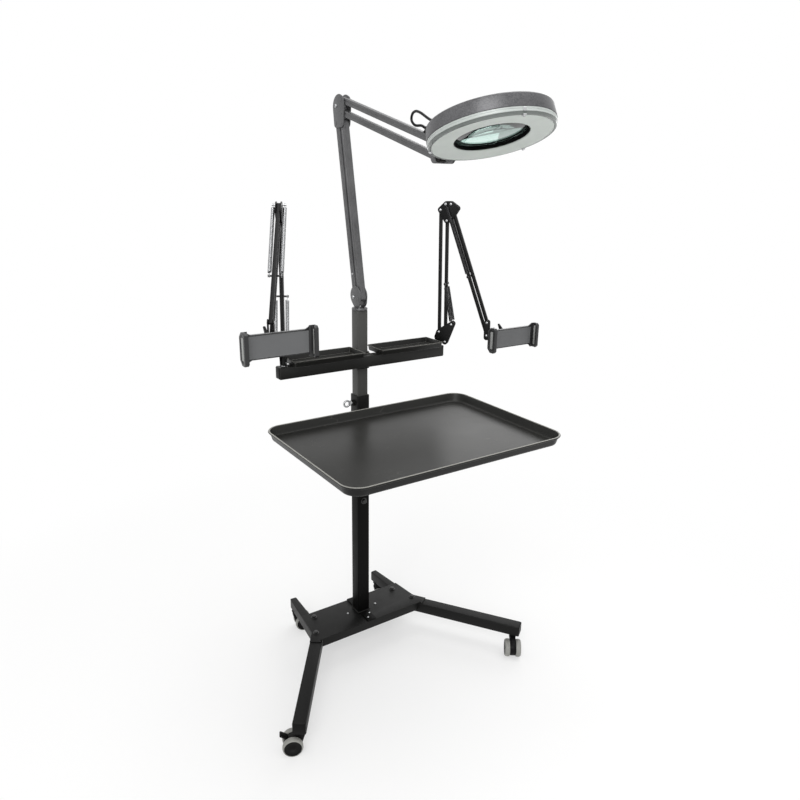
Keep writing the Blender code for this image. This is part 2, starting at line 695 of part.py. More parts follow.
def lamp_points():
    """The lamp's pivots as (forward, up), by name."""
    base_front = LAMP_BASE_PIVOT
    base_rear = shifted(base_front, (-LAMP_LOWER_SPACING, 0))
    elbow_front = along(base_front, LAMP_LOWER_LENGTH, LAMP_LOWER_LEAN)
    elbow_rear = along(base_rear, LAMP_LOWER_LENGTH, LAMP_LOWER_LEAN)
    under = shifted(elbow_front, (LAMP_ELBOW_FORWARD, LAMP_ELBOW_RISE))
    top = shifted(under, (0, LAMP_UPPER_SPACING))
    slope = 90 + LAMP_UPPER_SLOPE
    head_top = along(top, LAMP_UPPER_LENGTH, slope)
    return {"base_front": base_front, "base_rear": base_rear, "elbow_front": elbow_front,
            "elbow_rear": elbow_rear, "top": top, "under": under, "head_top": head_top,
            "head_under": along(under, LAMP_UPPER_LENGTH, slope),
            "head_pivot": shifted(head_top, LAMP_HEAD_OFFSET)}


def from_point(origin, *points):
    return [(p[0] - origin[0], p[1] - origin[1]) for p in points]


def build_lamp(root):
    frame = empty("lamp_plane", root, heading=LAMP_HEADING)
    at = lamp_points()
    inner = LAMP_BAR_WIDTH / 2 + GAP
    reach = inner + LAMP_CHEEK
    grey = grey_steel()

    pivots = from_point((0, UPPER_TOP), at["base_front"], at["base_rear"])
    seat = GAP + LAMP_FLANGE
    foot = LAMP_FLANGE_RADIUS
    cheek = around((LAMP_SOCKET_DISC, LAMP_SOCKET_DISC_RADIUS), ((0, seat + foot - WELD), foot))
    socket = place("lamp_socket", solid(cheeks(cheek, inner, LAMP_CHEEK), "lamp_socket"), grey,
                   frame, (0, 0, UPPER_TOP))
    fuse(socket, rod(LAMP_FLANGE_RADIUS, GAP, seat, sides=16))
    fuse(socket, rod(LAMP_STEM_RADIUS, -LAMP_STEM_LENGTH, GAP + WELD, sides=ROUND_SIDES))
    fuse(socket, *pins(pivots, LAMP_PIN_RADIUS, reach))

    groove = LAMP_GROOVE_WIDTH / 2
    for name, pivot, length, depth, pitch in (
            ("lamp_lower_front_bar", "base_front", LAMP_LOWER_LENGTH, LAMP_LOWER_DEPTH,
             LAMP_LOWER_LEAN),
            ("lamp_lower_rear_bar", "base_rear", LAMP_LOWER_LENGTH, LAMP_LOWER_DEPTH,
             LAMP_LOWER_LEAN),
            ("lamp_top_bar", "top", LAMP_UPPER_LENGTH, LAMP_UPPER_DEPTH, 90 + LAMP_UPPER_SLOPE),
            ("lamp_under_bar", "under", LAMP_UPPER_LENGTH, LAMP_UPPER_DEPTH,
             90 + LAMP_UPPER_SLOPE)):
        bar = place(name, solid([strut(length, depth, LAMP_BAR_WIDTH, LAMP_PIN_RADIUS)], name),
                    grey, frame, (at[pivot][0], 0, at[pivot][1]), pitch)
        if depth == LAMP_LOWER_DEPTH:
            side = LAMP_BAR_WIDTH / 2
            carve(bar, *[box((-groove, low, depth), (groove, high, length - depth))
                         for low, high in ((side - LAMP_GROOVE_DEPTH, side + WELD),
                                           (-side - WELD, LAMP_GROOVE_DEPTH - side))])

    origin = at["elbow_front"]
    corners = from_point(origin, at["elbow_front"], at["elbow_rear"], at["top"], at["under"])
    cheek = around((corners[0], LAMP_CHEEK_ROUND), (corners[1], LAMP_CHEEK_ROUND),
                   (corners[2], LAMP_CHEEK_ROUND), (corners[3], LAMP_CHEEK_ROUND),
                   (LAMP_ELBOW_DISC, LAMP_ELBOW_DISC_RADIUS))
    elbow = place("lamp_elbow", solid(cheeks(cheek, inner, LAMP_CHEEK), "lamp_elbow"), grey,
                  frame, (origin[0], 0, origin[1]))
    fuse(elbow, *pins(corners, LAMP_PIN_RADIUS, reach))

    origin = at["head_top"]
    corners = from_point(origin, at["head_top"], at["head_under"], at["head_pivot"])
    cheek = around((corners[0], 0.010), (corners[1], 0.010), (corners[2], 0.009))
    bracket = place("lamp_head_bracket", solid(cheeks(cheek, inner, LAMP_CHEEK),
                                               "lamp_head_bracket"),
                    grey, frame, (origin[0], 0, origin[1]))
    thread = -reach - GAP - KNOB_LENGTH * 0.7
    fuse(bracket, *pins(corners[:2], LAMP_PIN_RADIUS, reach))
    carve(bracket, rod(LAMP_PIN_RADIUS + PIN_PLAY, -reach - WELD, reach + WELD, "Y", corners[2]))

    pivot = at["head_pivot"]
    grip = rod(KNOB_RADIUS, -reach - GAP - KNOB_LENGTH, -reach - GAP, "Y", sides=ROUND_SIDES)
    knob = place("lamp_tilt_knob", solid([grip], "lamp_tilt_knob"),
                 paint("knob_black_plastic", (0.02, 0.02, 0.02), 0.4, 0.0), frame,
                 (pivot[0], 0, pivot[1]))
    carve(knob, rod(LAMP_PIN_RADIUS + PIN_PLAY, thread - GAP, -reach, "Y"))
    build_lamp_head(frame, pivot, thread, reach)
    build_lamp_cord(frame, at)


def build_lamp_head(frame, pivot, thread, reach):
    head = empty("lamp_head", frame, (pivot[0], 0, pivot[1]), pitch=-LAMP_HEAD_TILT)
    outer, wall = HEAD_RADIUS, HEAD_WALL
    bore = LENS_RADIUS + GAP
    soft = HEAD_CHAMFER
    brim = outer - HEAD_TAPER
    profile = [(outer, HEAD_SEAM), (brim, HEAD_TOP - soft), (brim - soft, HEAD_TOP),
               (bore + soft, HEAD_TOP), (bore, HEAD_TOP - soft), (bore, HEAD_SEAM),
               (bore + wall, HEAD_SEAM), (bore + wall, HEAD_TOP - soft),
               (bore + soft, HEAD_TOP - wall), (brim - soft, HEAD_TOP - wall),
               (brim - wall, HEAD_TOP - soft), (outer - wall, HEAD_SEAM)]
    middle = (HEAD_REACH, 0)
    shell = place("lamp_head_shell", solid([turned(profile, HEAD_SIDES, "Z", middle, True)],
                                           "lamp_head_shell"), grey_steel(), head)
    rim = HEAD_REACH - outer + wall * 0.8
    lug = around(((0, 0), 0.0085), ((rim - 0.002, HEAD_SEAM + 0.0022), 0.002),
                 ((rim - 0.002, (HEAD_SEAM + HEAD_TOP) / 2), 0.002))
    half = LAMP_BAR_WIDTH / 2
    fuse(shell, slab(lug, -half, half, "Y"))
    fuse(shell, rod(LAMP_PIN_RADIUS, thread, reach, "Y"))

    top = HEAD_SEAM - GAP
    out, low, slope = outer - 0.0008, HEAD_BOTTOM, wall / 2
    face = out - wall
    profile = [(out, top), (out, HEAD_RIM), (face, HEAD_FACE), (bore + wall, low),
               (bore, low + slope), (bore, top), (bore + wall, top), (bore + wall, low + wall),
               (face - wall / 2, HEAD_FACE + wall), (out - wall, HEAD_RIM + slope),
               (out - wall, top)]
    place("lamp_diffuser", solid([turned(profile, HEAD_SIDES, "Z", middle, True)], "lamp_diffuser"),
          paint("frosted_diffuser", (0.78, 0.80, 0.77), 0.5, 0.0), head)

    edge_top = HEAD_SEAM + LENS_EDGE
    edge_low = edge_top - LENS_EDGE
    steps = (1.0, 0.7, 0.35, 0.03)
    crown = [(LENS_RADIUS * s, edge_top + LENS_CROWN * (1 - s * s)) for s in steps]
    belly = [(LENS_RADIUS * s, edge_low - LENS_CROWN * (1 - s * s)) for s in steps]
    place("lamp_lens", solid([turned(belly[::-1] + crown, LENS_SIDES, "Z", middle)], "lamp_lens"),
          paint("magnifier_glass", (0.75, 0.85, 0.84), 0.03, 0.0), head)


def build_lamp_cord(frame, at):
    """The lead's short loop from the top bar to the back of the head."""
    slope = 90 + LAMP_UPPER_SLOPE
    start = along(at["top"], LAMP_UPPER_LENGTH - CORD_FROM_END, slope)
    leave = along(start, LAMP_UPPER_DEPTH / 2 + GAP, LAMP_UPPER_SLOPE)
    tilt = -LAMP_HEAD_TILT
    entry = along(along(at["head_pivot"], CORD_ENTRY, 90 + tilt), HEAD_TOP + GAP, tilt)
    rise = along(leave, 0.005, LAMP_UPPER_SLOPE)
    fall = along(entry, 0.012, tilt)
    loop = [shifted(leave, step) for step in CORD_LOOP]
    bow = [CORD_SIDE * k / len(loop) for k in range(1, len(loop) + 1)]
    route = [(leave, 0.0), (rise, 0.0), *zip(loop, bow), (fall, CORD_SIDE), (entry, CORD_SIDE)]
    points = smooth_path([(u, w, z) for (u, z), w in route], CORD_STEPS)
    place("lamp_cord", tube(points, CORD_RADIUS, 2, "lamp_cord"),
          paint("cord_black_rubber", (0.012, 0.012, 0.012), 0.5, 0.0), frame)


def smooth_path(points, steps):
    """Points along a smooth curve through a route whose first and last legs stay straight."""
    knots = [Vector(p) for p in points]
    spans = len(knots) - 3
    per = ceil(steps / spans)
    path = [knots[0]]
    for k in range(spans):
        a, b, c, d = knots[k:k + 4]
        for t in (j / per for j in range(per)):
            path.append(0.5 * (2 * b + (c - a) * t + (2 * a - 5 * b + 4 * c - d) * t * t
                               + (3 * b - a - 3 * c + d) * t ** 3))
    return path + knots[-2:]


def tube(points, radius, resolution, name):
    """A round tube with closed ends along points."""
    data = bpy.data.curves.new(name, "CURVE")
    data.dimensions = "3D"
    data.bevel_depth = radius
    data.bevel_resolution = resolution
    data.use_fill_caps = True
    spline = data.splines.new("POLY")
    spline.points.add(len(points) - 1)
    for knot, point in zip(spline.points, points):
        knot.co = (*point, 1.0)
    return data


def spring_points(length, curls):
    """A tension spring up +Z between two pins, with straight ends on its axis."""
    start = SPRING_PIN_RADIUS + GAP
    low, high = start + SPRING_TAIL, length - start - SPRING_TAIL
    count = curls * POINTS_PER_CURL
    points = [(0, 0, start), (0, 0, start + 2 * SPRING_WIRE)]
    for k in range(count + 1):
        swell = min(1.0, (k + 1) / 4, (count + 1 - k) / 4)
        angle = 2 * pi * k / POINTS_PER_CURL
        points.append((SPRING_COIL * swell * cos(angle), SPRING_COIL * swell * sin(angle),
                       low + (high - low) * k / count))
    points += [(0, 0, length - start - 2 * SPRING_WIRE), (0, 0, length - start)]
    return [Vector(p) for p in points]


def least_gap(points, wire):
    """Least clear distance between turns, measured between points half a curl apart or more."""
    apart = POINTS_PER_CURL // 2 + 1
    return min((points[i] - points[j]).length for i in range(len(points))
               for j in range(i + apart, len(points))) - wire


def spring(name, frame, fixed, moving, lateral, curls):
    """A spring from its fixed pin to the pin that it pulls."""
    du, dz = moving[0] - fixed[0], moving[1] - fixed[1]
    points = spring_points(hypot(du, dz), curls)
    print(f"{name}: least gap between turns {1000 * least_gap(points, SPRING_WIRE):.2f} mm")
    place(name, tube(points, SPRING_WIRE / 2, 1, name), bright_steel(), frame,
          (fixed[0], lateral, fixed[1]), degrees(atan2(du, dz)))


def arm_points(pose):
    """A tablet arm's pivots as (forward, up), by name."""
    front, rear = ARM_FRONT_PIVOT, ARM_REAR_PIVOT
    lean, hang = pose["lean"], 180 - pose["hang"]
    elbow_front = along(front, ARM_LENGTH, lean)
    top = shifted(elbow_front, ELBOW_TOP_PIVOT)
    under = shifted(elbow_front, ELBOW_UNDER_PIVOT)
    return {"front": front, "rear": rear, "ear": ARM_EAR, "elbow_front": elbow_front,
            "elbow_rear": along(rear, ARM_LENGTH, lean), "top": top, "under": under,
            "spring_pin": shifted(elbow_front, ELBOW_SPRING_PIN),
            "nose": shifted(elbow_front, ELBOW_NOSE),
            "lower_pin": along(rear, SPRING_PIN_ALONG, lean),
            "upper_pin": along(under, SPRING_PIN_ALONG, hang),
            "head_top": along(top, ARM_LENGTH, hang),
            "head_under": along(under, ARM_LENGTH, hang)}


def build_arm(root, side):
    pose = ARM_POSES[side]
    frame = empty(f"{side}_arm_plane", root, (pose["x"], arm_pin_y(), BAR_TOP + ARM_RISE),
                  pose["heading"])
    at = arm_points(pose)
    inner = ARM_BAR / 2 + GAP
    outer = inner + ARM_PLATE
    black = black_steel()
    build_arm_base(frame, side, at, inner, outer)

    for name, pivot, pitch, sprung in (
            ("lower_front_bar", "front", pose["lean"], False),
            ("lower_rear_bar", "rear", pose["lean"], True),
            ("upper_top_bar", "top", 180 - pose["hang"], False),
            ("upper_under_bar", "under", 180 - pose["hang"], True)):
        bar = place(f"{side}_{name}",
                    solid([strut(ARM_LENGTH, ARM_BAR, ARM_BAR, ARM_RIVET_RADIUS)], name), black,
                    frame, (at[pivot][0], 0, at[pivot][1]), pitch)
        if sprung:
            fuse(bar, *pins([(0, SPRING_PIN_ALONG)], SPRING_PIN_RADIUS, SPRING_PIN_REACH))

    origin = at["elbow_front"]
    corners = from_point(origin, at["elbow_front"], at["elbow_rear"], at["top"], at["under"],
                         at["spring_pin"], at["nose"])
    plate = around(*[(corner, ARM_PLATE_ROUND) for corner in corners])
    elbow = place(f"{side}_arm_elbow", solid(cheeks(plate, inner, ARM_PLATE), "arm_elbow"), black,
                  frame, (origin[0], 0, origin[1]))
    fuse(elbow, *pins(corners[:4], ARM_RIVET_RADIUS, outer + ARM_PLATE / 2),
         *stubs(corners[4], SPRING_PIN_RADIUS, inner + WELD, SPRING_PIN_REACH))

    for sign, label in ((-1, "inner"), (1, "outer")):
        spring(f"{side}_upper_{label}_spring", frame, at["spring_pin"], at["upper_pin"],
               sign * SPRING_OFFSET, UPPER_CURLS)
        spring(f"{side}_lower_{label}_spring", frame, at["ear"], at["lower_pin"],
               sign * SPRING_OFFSET, LOWER_CURLS)
    build_arm_head(frame, side, at, inner, outer)


def build_arm_base(frame, side, at, inner, outer):
    seat = GAP - ARM_RISE
    neck = seat + ARM_NUT_HEIGHT
    plate = around(*[(at[key], ARM_PLATE_ROUND) for key in ("front", "rear", "ear")],
                   ((-0.001, neck + ARM_PLATE_ROUND), ARM_PLATE_ROUND))
    base = place(f"{side}_arm_base", solid(cheeks(plate, inner, ARM_PLATE), "arm_base"),
                 black_steel(), frame)
    fuse(base, box((-ARM_NUT_RADIUS, -outer, neck - WELD),
                   (ARM_NUT_RADIUS, outer, neck + ARM_PLATE * 3)))
    fuse(base, rod(ARM_NUT_RADIUS, seat, neck, sides=6))
    fuse(base, rod(ARM_PIN_RADIUS, -ARM_RISE - BAR_HEIGHT, seat + WELD, sides=ROUND_SIDES))
    fuse(base, *pins([at["front"], at["rear"]], ARM_RIVET_RADIUS, outer + ARM_PLATE / 2),
         *stubs(at["ear"], SPRING_PIN_RADIUS, inner + WELD, SPRING_PIN_REACH))


def build_arm_head(frame, side, at, inner, outer):
    """Head bracket with its pan post, the knuckle on it and the tablet holder."""
    origin = at["head_top"]
    pivots = from_point(origin, at["head_top"], at["head_under"])
    shelf_top = pivots[1][1] - ARM_BAR / 2 - 2 * GAP
    shelf_low = shelf_top - NOSE_SHELF
    plate = around((pivots[0], ARM_PLATE_ROUND), (pivots[1], ARM_PLATE_ROUND),
                   ((pivots[1][0], shelf_low + ARM_PLATE_ROUND), ARM_PLATE_ROUND))
    bracket = place(f"{side}_arm_head_bracket", solid(cheeks(plate, inner, ARM_PLATE), "arm_head"),
                    black_steel(), frame, (origin[0], 0, origin[1]))
    fuse(bracket, *pins(pivots, ARM_RIVET_RADIUS, outer + ARM_PLATE / 2))
    fuse(bracket, box((ARM_PLATE_ROUND / 3, -outer, shelf_low),
                      (NOSE_POST + KNUCKLE_RADIUS, outer, shelf_top)))
    sleeve_low = shelf_top + GAP
    fuse(bracket, rod(NOSE_POST_RADIUS, shelf_low + WELD, sleeve_low + KNUCKLE_HEIGHT + GAP,
                      centre=(NOSE_POST, 0), sides=ROUND_SIDES))

    pan = empty(f"{side}_pan", frame, (origin[0] + NOSE_POST, 0, origin[1] + sleeve_low),
                ARM_POSES[side]["pan"])
    half_tongue = KNUCKLE_TONGUE / 2
    tilt_z = KNUCKLE_HEIGHT / 2
    tongue = around(((KNUCKLE_RADIUS * 0.7, tilt_z), tilt_z * 0.7), ((KNUCKLE_REACH, tilt_z), 0.005))
    knuckle = place(f"{side}_holder_knuckle",
                    solid([rod(KNUCKLE_RADIUS, 0, KNUCKLE_HEIGHT, sides=16)], "holder_knuckle"),
                    grey_plastic(), pan)
    fuse(knuckle, slab(tongue, -half_tongue, half_tongue, "Y"))
    carve(knuckle, rod(NOSE_POST_RADIUS + PIN_PLAY, -WELD, KNUCKLE_HEIGHT + WELD, sides=ROUND_SIDES))
    carve(knuckle, rod(ARM_RIVET_RADIUS + PIN_PLAY, -half_tongue - WELD, half_tongue + WELD, "Y",
                       (KNUCKLE_REACH, tilt_z)))
    build_holder(pan, side, (KNUCKLE_REACH, 0, tilt_z), half_tongue + GAP)


def jaw_shape(inner_y, sign):
    """A jaw at its place: an end wall with cut corners, before its hook is cut out."""
    high, cut = JAW_HEIGHT / 2, JAW_CHAMFER
    back, front = HOLDER_SETBACK, HOLDER_SETBACK + JAW_DEPTH
    upper = [(front, high - cut / 2), (front - cut / 2, high), (back + cut, high),
             (back, high - cut)]
    outline = upper + [(x, -z) for x, z in upper[::-1]]
    low, far = sorted((sign * inner_y, sign * (inner_y + JAW_WIDTH)))
    return slab(outline, low, far, "Y")


def build_holder(pan, side, pivot, ear_inner):
    """Back plate with one fixed jaw, and the jaw that slides out of its other end."""
    span, thick, height = HOLDER_PLATE
    half = span / 2
    back = HOLDER_SETBACK
    holder = place(f"{side}_tablet_holder",
                   solid([box((back, -half - WELD, -height / 2), (back + thick, half, height / 2))],
                         "tablet_holder"), grey_plastic(), pan, pivot)
    fuse(holder, jaw_shape(half, -1))
    ear = around(((0, 0), 0.005), ((back + WELD, 0.007), 0.001), ((back + WELD, -0.007), 0.001))
    fuse(holder, *cheeks(ear, ear_inner, HOLDER_EAR))
    fuse(holder, *pins([(0, 0)], ARM_RIVET_RADIUS, ear_inner + HOLDER_EAR))
    length, slot, slot_height = HOLDER_SLOT
    middle = back + thick / 2
    carve(holder, box((middle - slot / 2, half - length, -slot_height / 2),
                      (middle + slot / 2, half + WELD, slot_height / 2)))
    lip_x = back + JAW_DEPTH - JAW_WALL
    room = box((back + thick, -half - JAW_WIDTH + JAW_WALL, -JAW_HEIGHT), (lip_x, -half, JAW_HEIGHT))
    room_front = box((lip_x - WELD, -half - JAW_WIDTH + JAW_WALL + JAW_LIP, -JAW_HEIGHT),
                     (back + JAW_DEPTH + WELD, -half + WELD, JAW_HEIGHT))
    carve(holder, room)
    carve(holder, room_front)

    start = half + GAP
    jaw = place(f"{side}_sliding_jaw", solid([jaw_shape(start, 1)], "sliding_jaw"), grey_plastic(),
                pan, pivot)
    carve(jaw, box((back + thick, start - WELD, -JAW_HEIGHT),
                   (lip_x, start + JAW_WIDTH - JAW_WALL, JAW_HEIGHT)))
    carve(jaw, box((lip_x - WELD, start - WELD, -JAW_HEIGHT),
                   (back + JAW_DEPTH + WELD, start + JAW_WIDTH - JAW_WALL - JAW_LIP, JAW_HEIGHT)))
    length, tongue, tongue_height = JAW_TONGUE
    fuse(jaw, box((middle - tongue / 2, start - length, -tongue_height / 2),
                  (middle + tongue / 2, start + WELD, tongue_height / 2)))


def main():
    clear_scene()
    root = empty("workstation", location=(COLUMN_X, COLUMN_Y, 0))
    build_base(root)
    build_castors(root)
    build_column(root)
    build_tray(root)
    build_crossbar(root)
    build_lamp(root)
    for side in ("left", "right"):
        build_arm(root, side)


main()
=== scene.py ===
from math import atan2, cos, hypot, pi, radians, sin

import bmesh
import bpy
from mathutils import Matrix, Vector


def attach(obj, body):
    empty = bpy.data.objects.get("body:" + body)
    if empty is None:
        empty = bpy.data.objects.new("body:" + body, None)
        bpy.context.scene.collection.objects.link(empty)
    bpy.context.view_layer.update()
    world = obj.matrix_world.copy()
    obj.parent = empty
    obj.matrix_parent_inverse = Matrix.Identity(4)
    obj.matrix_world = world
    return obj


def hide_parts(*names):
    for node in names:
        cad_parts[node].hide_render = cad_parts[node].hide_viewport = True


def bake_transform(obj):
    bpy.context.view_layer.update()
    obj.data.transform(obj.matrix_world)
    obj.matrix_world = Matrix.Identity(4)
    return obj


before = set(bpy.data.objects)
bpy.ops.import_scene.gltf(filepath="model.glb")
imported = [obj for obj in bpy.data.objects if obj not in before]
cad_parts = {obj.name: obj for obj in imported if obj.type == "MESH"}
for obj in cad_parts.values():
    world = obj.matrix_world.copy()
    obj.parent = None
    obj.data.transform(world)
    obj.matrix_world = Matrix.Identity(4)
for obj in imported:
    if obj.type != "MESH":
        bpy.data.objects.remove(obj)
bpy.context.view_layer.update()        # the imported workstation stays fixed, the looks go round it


def moveTo(x, y, z):
    return Matrix.Translation((x, y, z))


def spun(degrees, axis):
    return Matrix.Rotation(radians(degrees), 4, axis)


column = {"x": 0.0075, "y": 0.1750}          # column axis on the floor
rootPlace = moveTo(column["x"], column["y"], 0)
seatGap = 0.0003                             # clearance between seated pieces
sides = ("left", "right")


# camera, floor and light

viewSetup = {"eye": (-0.7050, -1.0422, 1.0496), "yaw": 33.8906, "pitch": 17.4273, "roll": 0.8426,
             "focalPixels": 676.64, "framePixels": 800, "sensor": 36}
studio = {"ambient": 0.52, "floorHex": "fafaf9", "floorSize": 14, "floorRough": 0.9, "floorShine": 0.1,
          "cloudScale": 1.5, "aimHeight": 0.65,
          "fadeFrom": 0.45, "fadeTo": 1.35, "fadeLeast": 0.5,
          "lamps": (("keyPanel", (-1.7, -1.9, 2.3), 1.6, 42), ("topPanel", (0.4, -0.2, 3.0), 2.2, 30),
                    ("rimPanel", (1.9, 1.3, 1.9), 1.4, 10))}


def linear(hexColour):
    parts = [int(hexColour[k:k + 2], 16) / 255 for k in (0, 2, 4)]
    return (*[p / 12.92 if p <= 0.04045 else ((p + 0.055) / 1.055) ** 2.4 for p in parts], 1)


def addNode(tree, kind, settings=None, sockets=None, links=None):
    node = tree.nodes.new(kind)
    for key, value in (settings or {}).items():
        setattr(node, key, value)
    for key, value in (sockets or {}).items():
        node.inputs[key].default_value = value
    for key, source in (links or {}).items():
        tree.links.new(source, node.inputs[key])
    return node


def placeCamera():
    yaw, pitch, roll = (radians(viewSetup[key]) for key in ("yaw", "pitch", "roll"))
    ahead = Vector((sin(yaw) * cos(pitch), cos(yaw) * cos(pitch), -sin(pitch)))
    across = Vector((cos(yaw), -sin(yaw), 0))
    over = across.cross(ahead)
    level = across * cos(roll) + over * sin(roll)
    upright = over * cos(roll) - across * sin(roll)
    lens = bpy.data.cameras.new("photoCamera")
    lens.sensor_width = viewSetup["sensor"]
    lens.lens = viewSetup["focalPixels"] / viewSetup["framePixels"] * viewSetup["sensor"]
    eye = bpy.data.objects.new("photoCamera", lens)
    turn = Matrix((level, upright, -ahead)).transposed().to_4x4()
    eye.matrix_world = Matrix.Translation(viewSetup["eye"]) @ turn
    bpy.context.collection.objects.link(eye)
    bpy.context.scene.camera = eye


def anySeen(tree, path):
    # 1 for rays that show a background: seen directly, mirrored or through glass
    seen = addNode(tree, "ShaderNodeMath", {"operation": "MAXIMUM"},
                   links={0: path.outputs["Is Camera Ray"], 1: path.outputs["Is Glossy Ray"]})
    shown = addNode(tree, "ShaderNodeMath", {"operation": "MAXIMUM"},
                    links={0: seen.outputs[0], 1: path.outputs["Is Transmission Ray"]})
    return shown.outputs[0]


def lightStudio():
    scene = bpy.context.scene
    scene.view_settings.view_transform = "Standard"
    world = bpy.data.worlds.new("paleStudio")
    world.use_nodes = True
    tree = world.node_tree
    tree.nodes.clear()
    path = addNode(tree, "ShaderNodeLightPath")
    shown = anySeen(tree, path)
    room = addNode(tree, "ShaderNodeBackground",
                   sockets={"Color": (1, 1, 1, 1), "Strength": studio["ambient"]})
    white = addNode(tree, "ShaderNodeBackground", sockets={"Color": (1, 1, 1, 1), "Strength": 1})
    mix = addNode(tree, "ShaderNodeMixShader",
                  links={0: shown, 1: room.outputs[0], 2: white.outputs[0]})
    addNode(tree, "ShaderNodeOutputWorld", links={"Surface": mix.outputs[0]})
    scene.world = world


def hangLamps():
    for name, spot, size, power in studio["lamps"]:
        data = bpy.data.lights.new(name, "AREA")
        data.size = size
        data.energy = power
        lamp = bpy.data.objects.new(name, data)
        lamp.location = spot
        aim = Vector((0, 0, studio["aimHeight"])) - Vector(spot)
        lamp.rotation_euler = aim.to_track_quat("-Z", "Y").to_euler()
        bpy.context.collection.objects.link(lamp)


def layFloor():
    # near white, and it keeps the object's shadow
    material = bpy.data.materials.new("paleFloor")
    material.use_nodes = True
    tree = material.node_tree
    shader = tree.nodes["Principled BSDF"]
    shader.inputs["Roughness"].default_value = studio["floorRough"]
    shader.inputs["Specular IOR Level"].default_value = studio["floorShine"]
    coord = addNode(tree, "ShaderNodeTexCoord")
    cloud = addNode(tree, "ShaderNodeTexNoise", sockets={"Scale": studio["cloudScale"]},
                    links={"Vector": coord.outputs["Object"]})
    tone = addNode(tree, "ShaderNodeMix", {"data_type": "RGBA"},
                   {6: linear(studio["floorHex"]), 7: (1, 1, 1, 1)}, {0: cloud.outputs[0]})
    tree.links.new(tone.outputs[2], shader.inputs["Base Color"])
    # away from the object the floor runs out into the white backdrop
    path = addNode(tree, "ShaderNodeLightPath")
    far = addNode(tree, "ShaderNodeVectorMath", {"operation": "LENGTH"}, links={0: coord.outputs["Object"]})
    fade = addNode(tree, "ShaderNodeMapRange", sockets={1: studio["fadeFrom"], 2: studio["fadeTo"],
            3: studio["fadeLeast"]}, links={0: far.outputs["Value"]})
    share = addNode(tree, "ShaderNodeMath", {"operation": "MULTIPLY"},
                    links={0: fade.outputs[0], 1: anySeen(tree, path)})
    glow = addNode(tree, "ShaderNodeEmission", sockets={"Color": (1, 1, 1, 1), "Strength": 1})
    mix = addNode(tree, "ShaderNodeMixShader",
                  links={0: share.outputs[0], 1: shader.outputs[0], 2: glow.outputs[0]})
    tree.links.new(mix.outputs[0], tree.nodes["Material Output"].inputs["Surface"])
    shape = bmesh.new()
    bmesh.ops.create_grid(shape, x_segments=1, y_segments=1, size=studio["floorSize"] / 2)
    mesh = bpy.data.meshes.new("studioFloor")
    shape.to_mesh(mesh)
    shape.free()
    mesh.materials.append(material)
    floor = bpy.data.objects.new("studioFloor", mesh)
    bpy.context.collection.objects.link(floor)


placeCamera()
lightStudio()
hangLamps()
layFloor()
print("camera, floor and lamps are up")


# finishes

def perMetre(millimetres):
    return 1000 / millimetres


class Finish:
    def __init__(self, name):
        self.material = bpy.data.materials.new(name)
        self.material.use_nodes = True
        self.tree = self.material.node_tree
        self.shader = self.tree.nodes["Principled BSDF"]
        self.coord = self.add("ShaderNodeTexCoord").outputs["Object"]

    def add(self, kind, settings=None, sockets=None, links=None):
        return addNode(self.tree, kind, settings, sockets, links)

    def noise(self, sizeMm, detail):
        return self.add("ShaderNodeTexNoise", sockets={"Scale": perMetre(sizeMm), "Detail": detail},
                        links={"Vector": self.coord}).outputs[0]

    def cells(self, sizeMm, feature="F1", coord=None):
        return self.add("ShaderNodeTexVoronoi", {"feature": feature}, {"Scale": perMetre(sizeMm)},
                        {"Vector": coord or self.coord})

    def span(self, source, low, high, first=0, last=1):
        return self.add("ShaderNodeMapRange", sockets={1: low, 2: high, 3: first, 4: last},
                        links={0: source}).outputs[0]

    def times(self, one, other):
        return self.add("ShaderNodeMath", {"operation": "MULTIPLY"}, links={0: one, 1: other}).outputs[0]

    def towards(self, one, other):
        return self.add("ShaderNodeVectorMath", {"operation": "DOT_PRODUCT"},
                        links={0: one, 1: other}).outputs["Value"]

    def tint(self, share, under, over):
        # each colour is a hex value or another node's output
        mix = self.add("ShaderNodeMix", {"data_type": "RGBA"}, links={0: share})
        for socket, colour in ((6, under), (7, over)):
            if isinstance(colour, str):
                mix.inputs[socket].default_value = linear(colour)
            else:
                self.tree.links.new(colour, mix.inputs[socket])
        return mix.outputs[2]

    def done(self, tone, gloss, relief=None, values=None):
        self.tree.links.new(tone, self.shader.inputs["Base Color"])
        self.tree.links.new(gloss, self.shader.inputs["Roughness"])
        if relief:
            height, strength, depth = relief
            bump = self.add("ShaderNodeBump", sockets={"Strength": strength, "Distance": depth},
                            links={"Height": height})
            self.tree.links.new(bump.outputs[0], self.shader.inputs["Normal"])
        for label, value in (values or {}).items():
            self.shader.inputs[label].default_value = value
        return self.material


def powderCoat(name, darkHex, lightHex, dustAndHighlightHex, rough, peelMm, shine, edgeWearAndHighlightShare):
    # polyester powder coat on steel: satin, faint orange peel, dust, paler along edges, partly edge wear
    # and partly painted highlight
    f = Finish(name)
    cloud, patch = f.noise(140, 4), f.noise(35, 2)
    dots = f.span(f.cells(9).outputs["Distance"], 0.03, 0.09, 0.55, 0)
    dust = f.times(dots, f.span(patch, 0.5, 0.66))
    dusty = f.tint(dust, f.tint(cloud, darkHex, lightHex), dustAndHighlightHex)
    # paler edges: partly edge wear, partly a painted highlight
    edge = f.add("ShaderNodeBevel", {"samples": 4}, {"Radius": 0.0012})
    meet = f.towards(edge.outputs[0], f.add("ShaderNodeNewGeometry").outputs["Normal"])
    edgeWearAndHighlight = f.times(f.span(meet, 0.80, 0.985, edgeWearAndHighlightShare, 0), cloud)
    # real orange peel is about 1.5 mm, drawn coarser so that it shows
    return f.done(f.tint(edgeWearAndHighlight, dusty, dustAndHighlightHex), f.span(patch, 0, 1, rough - 0.06, rough + 0.08),
                  (f.noise(peelMm, 3), 0.16, 0.0004), {"Specular IOR Level": shine})


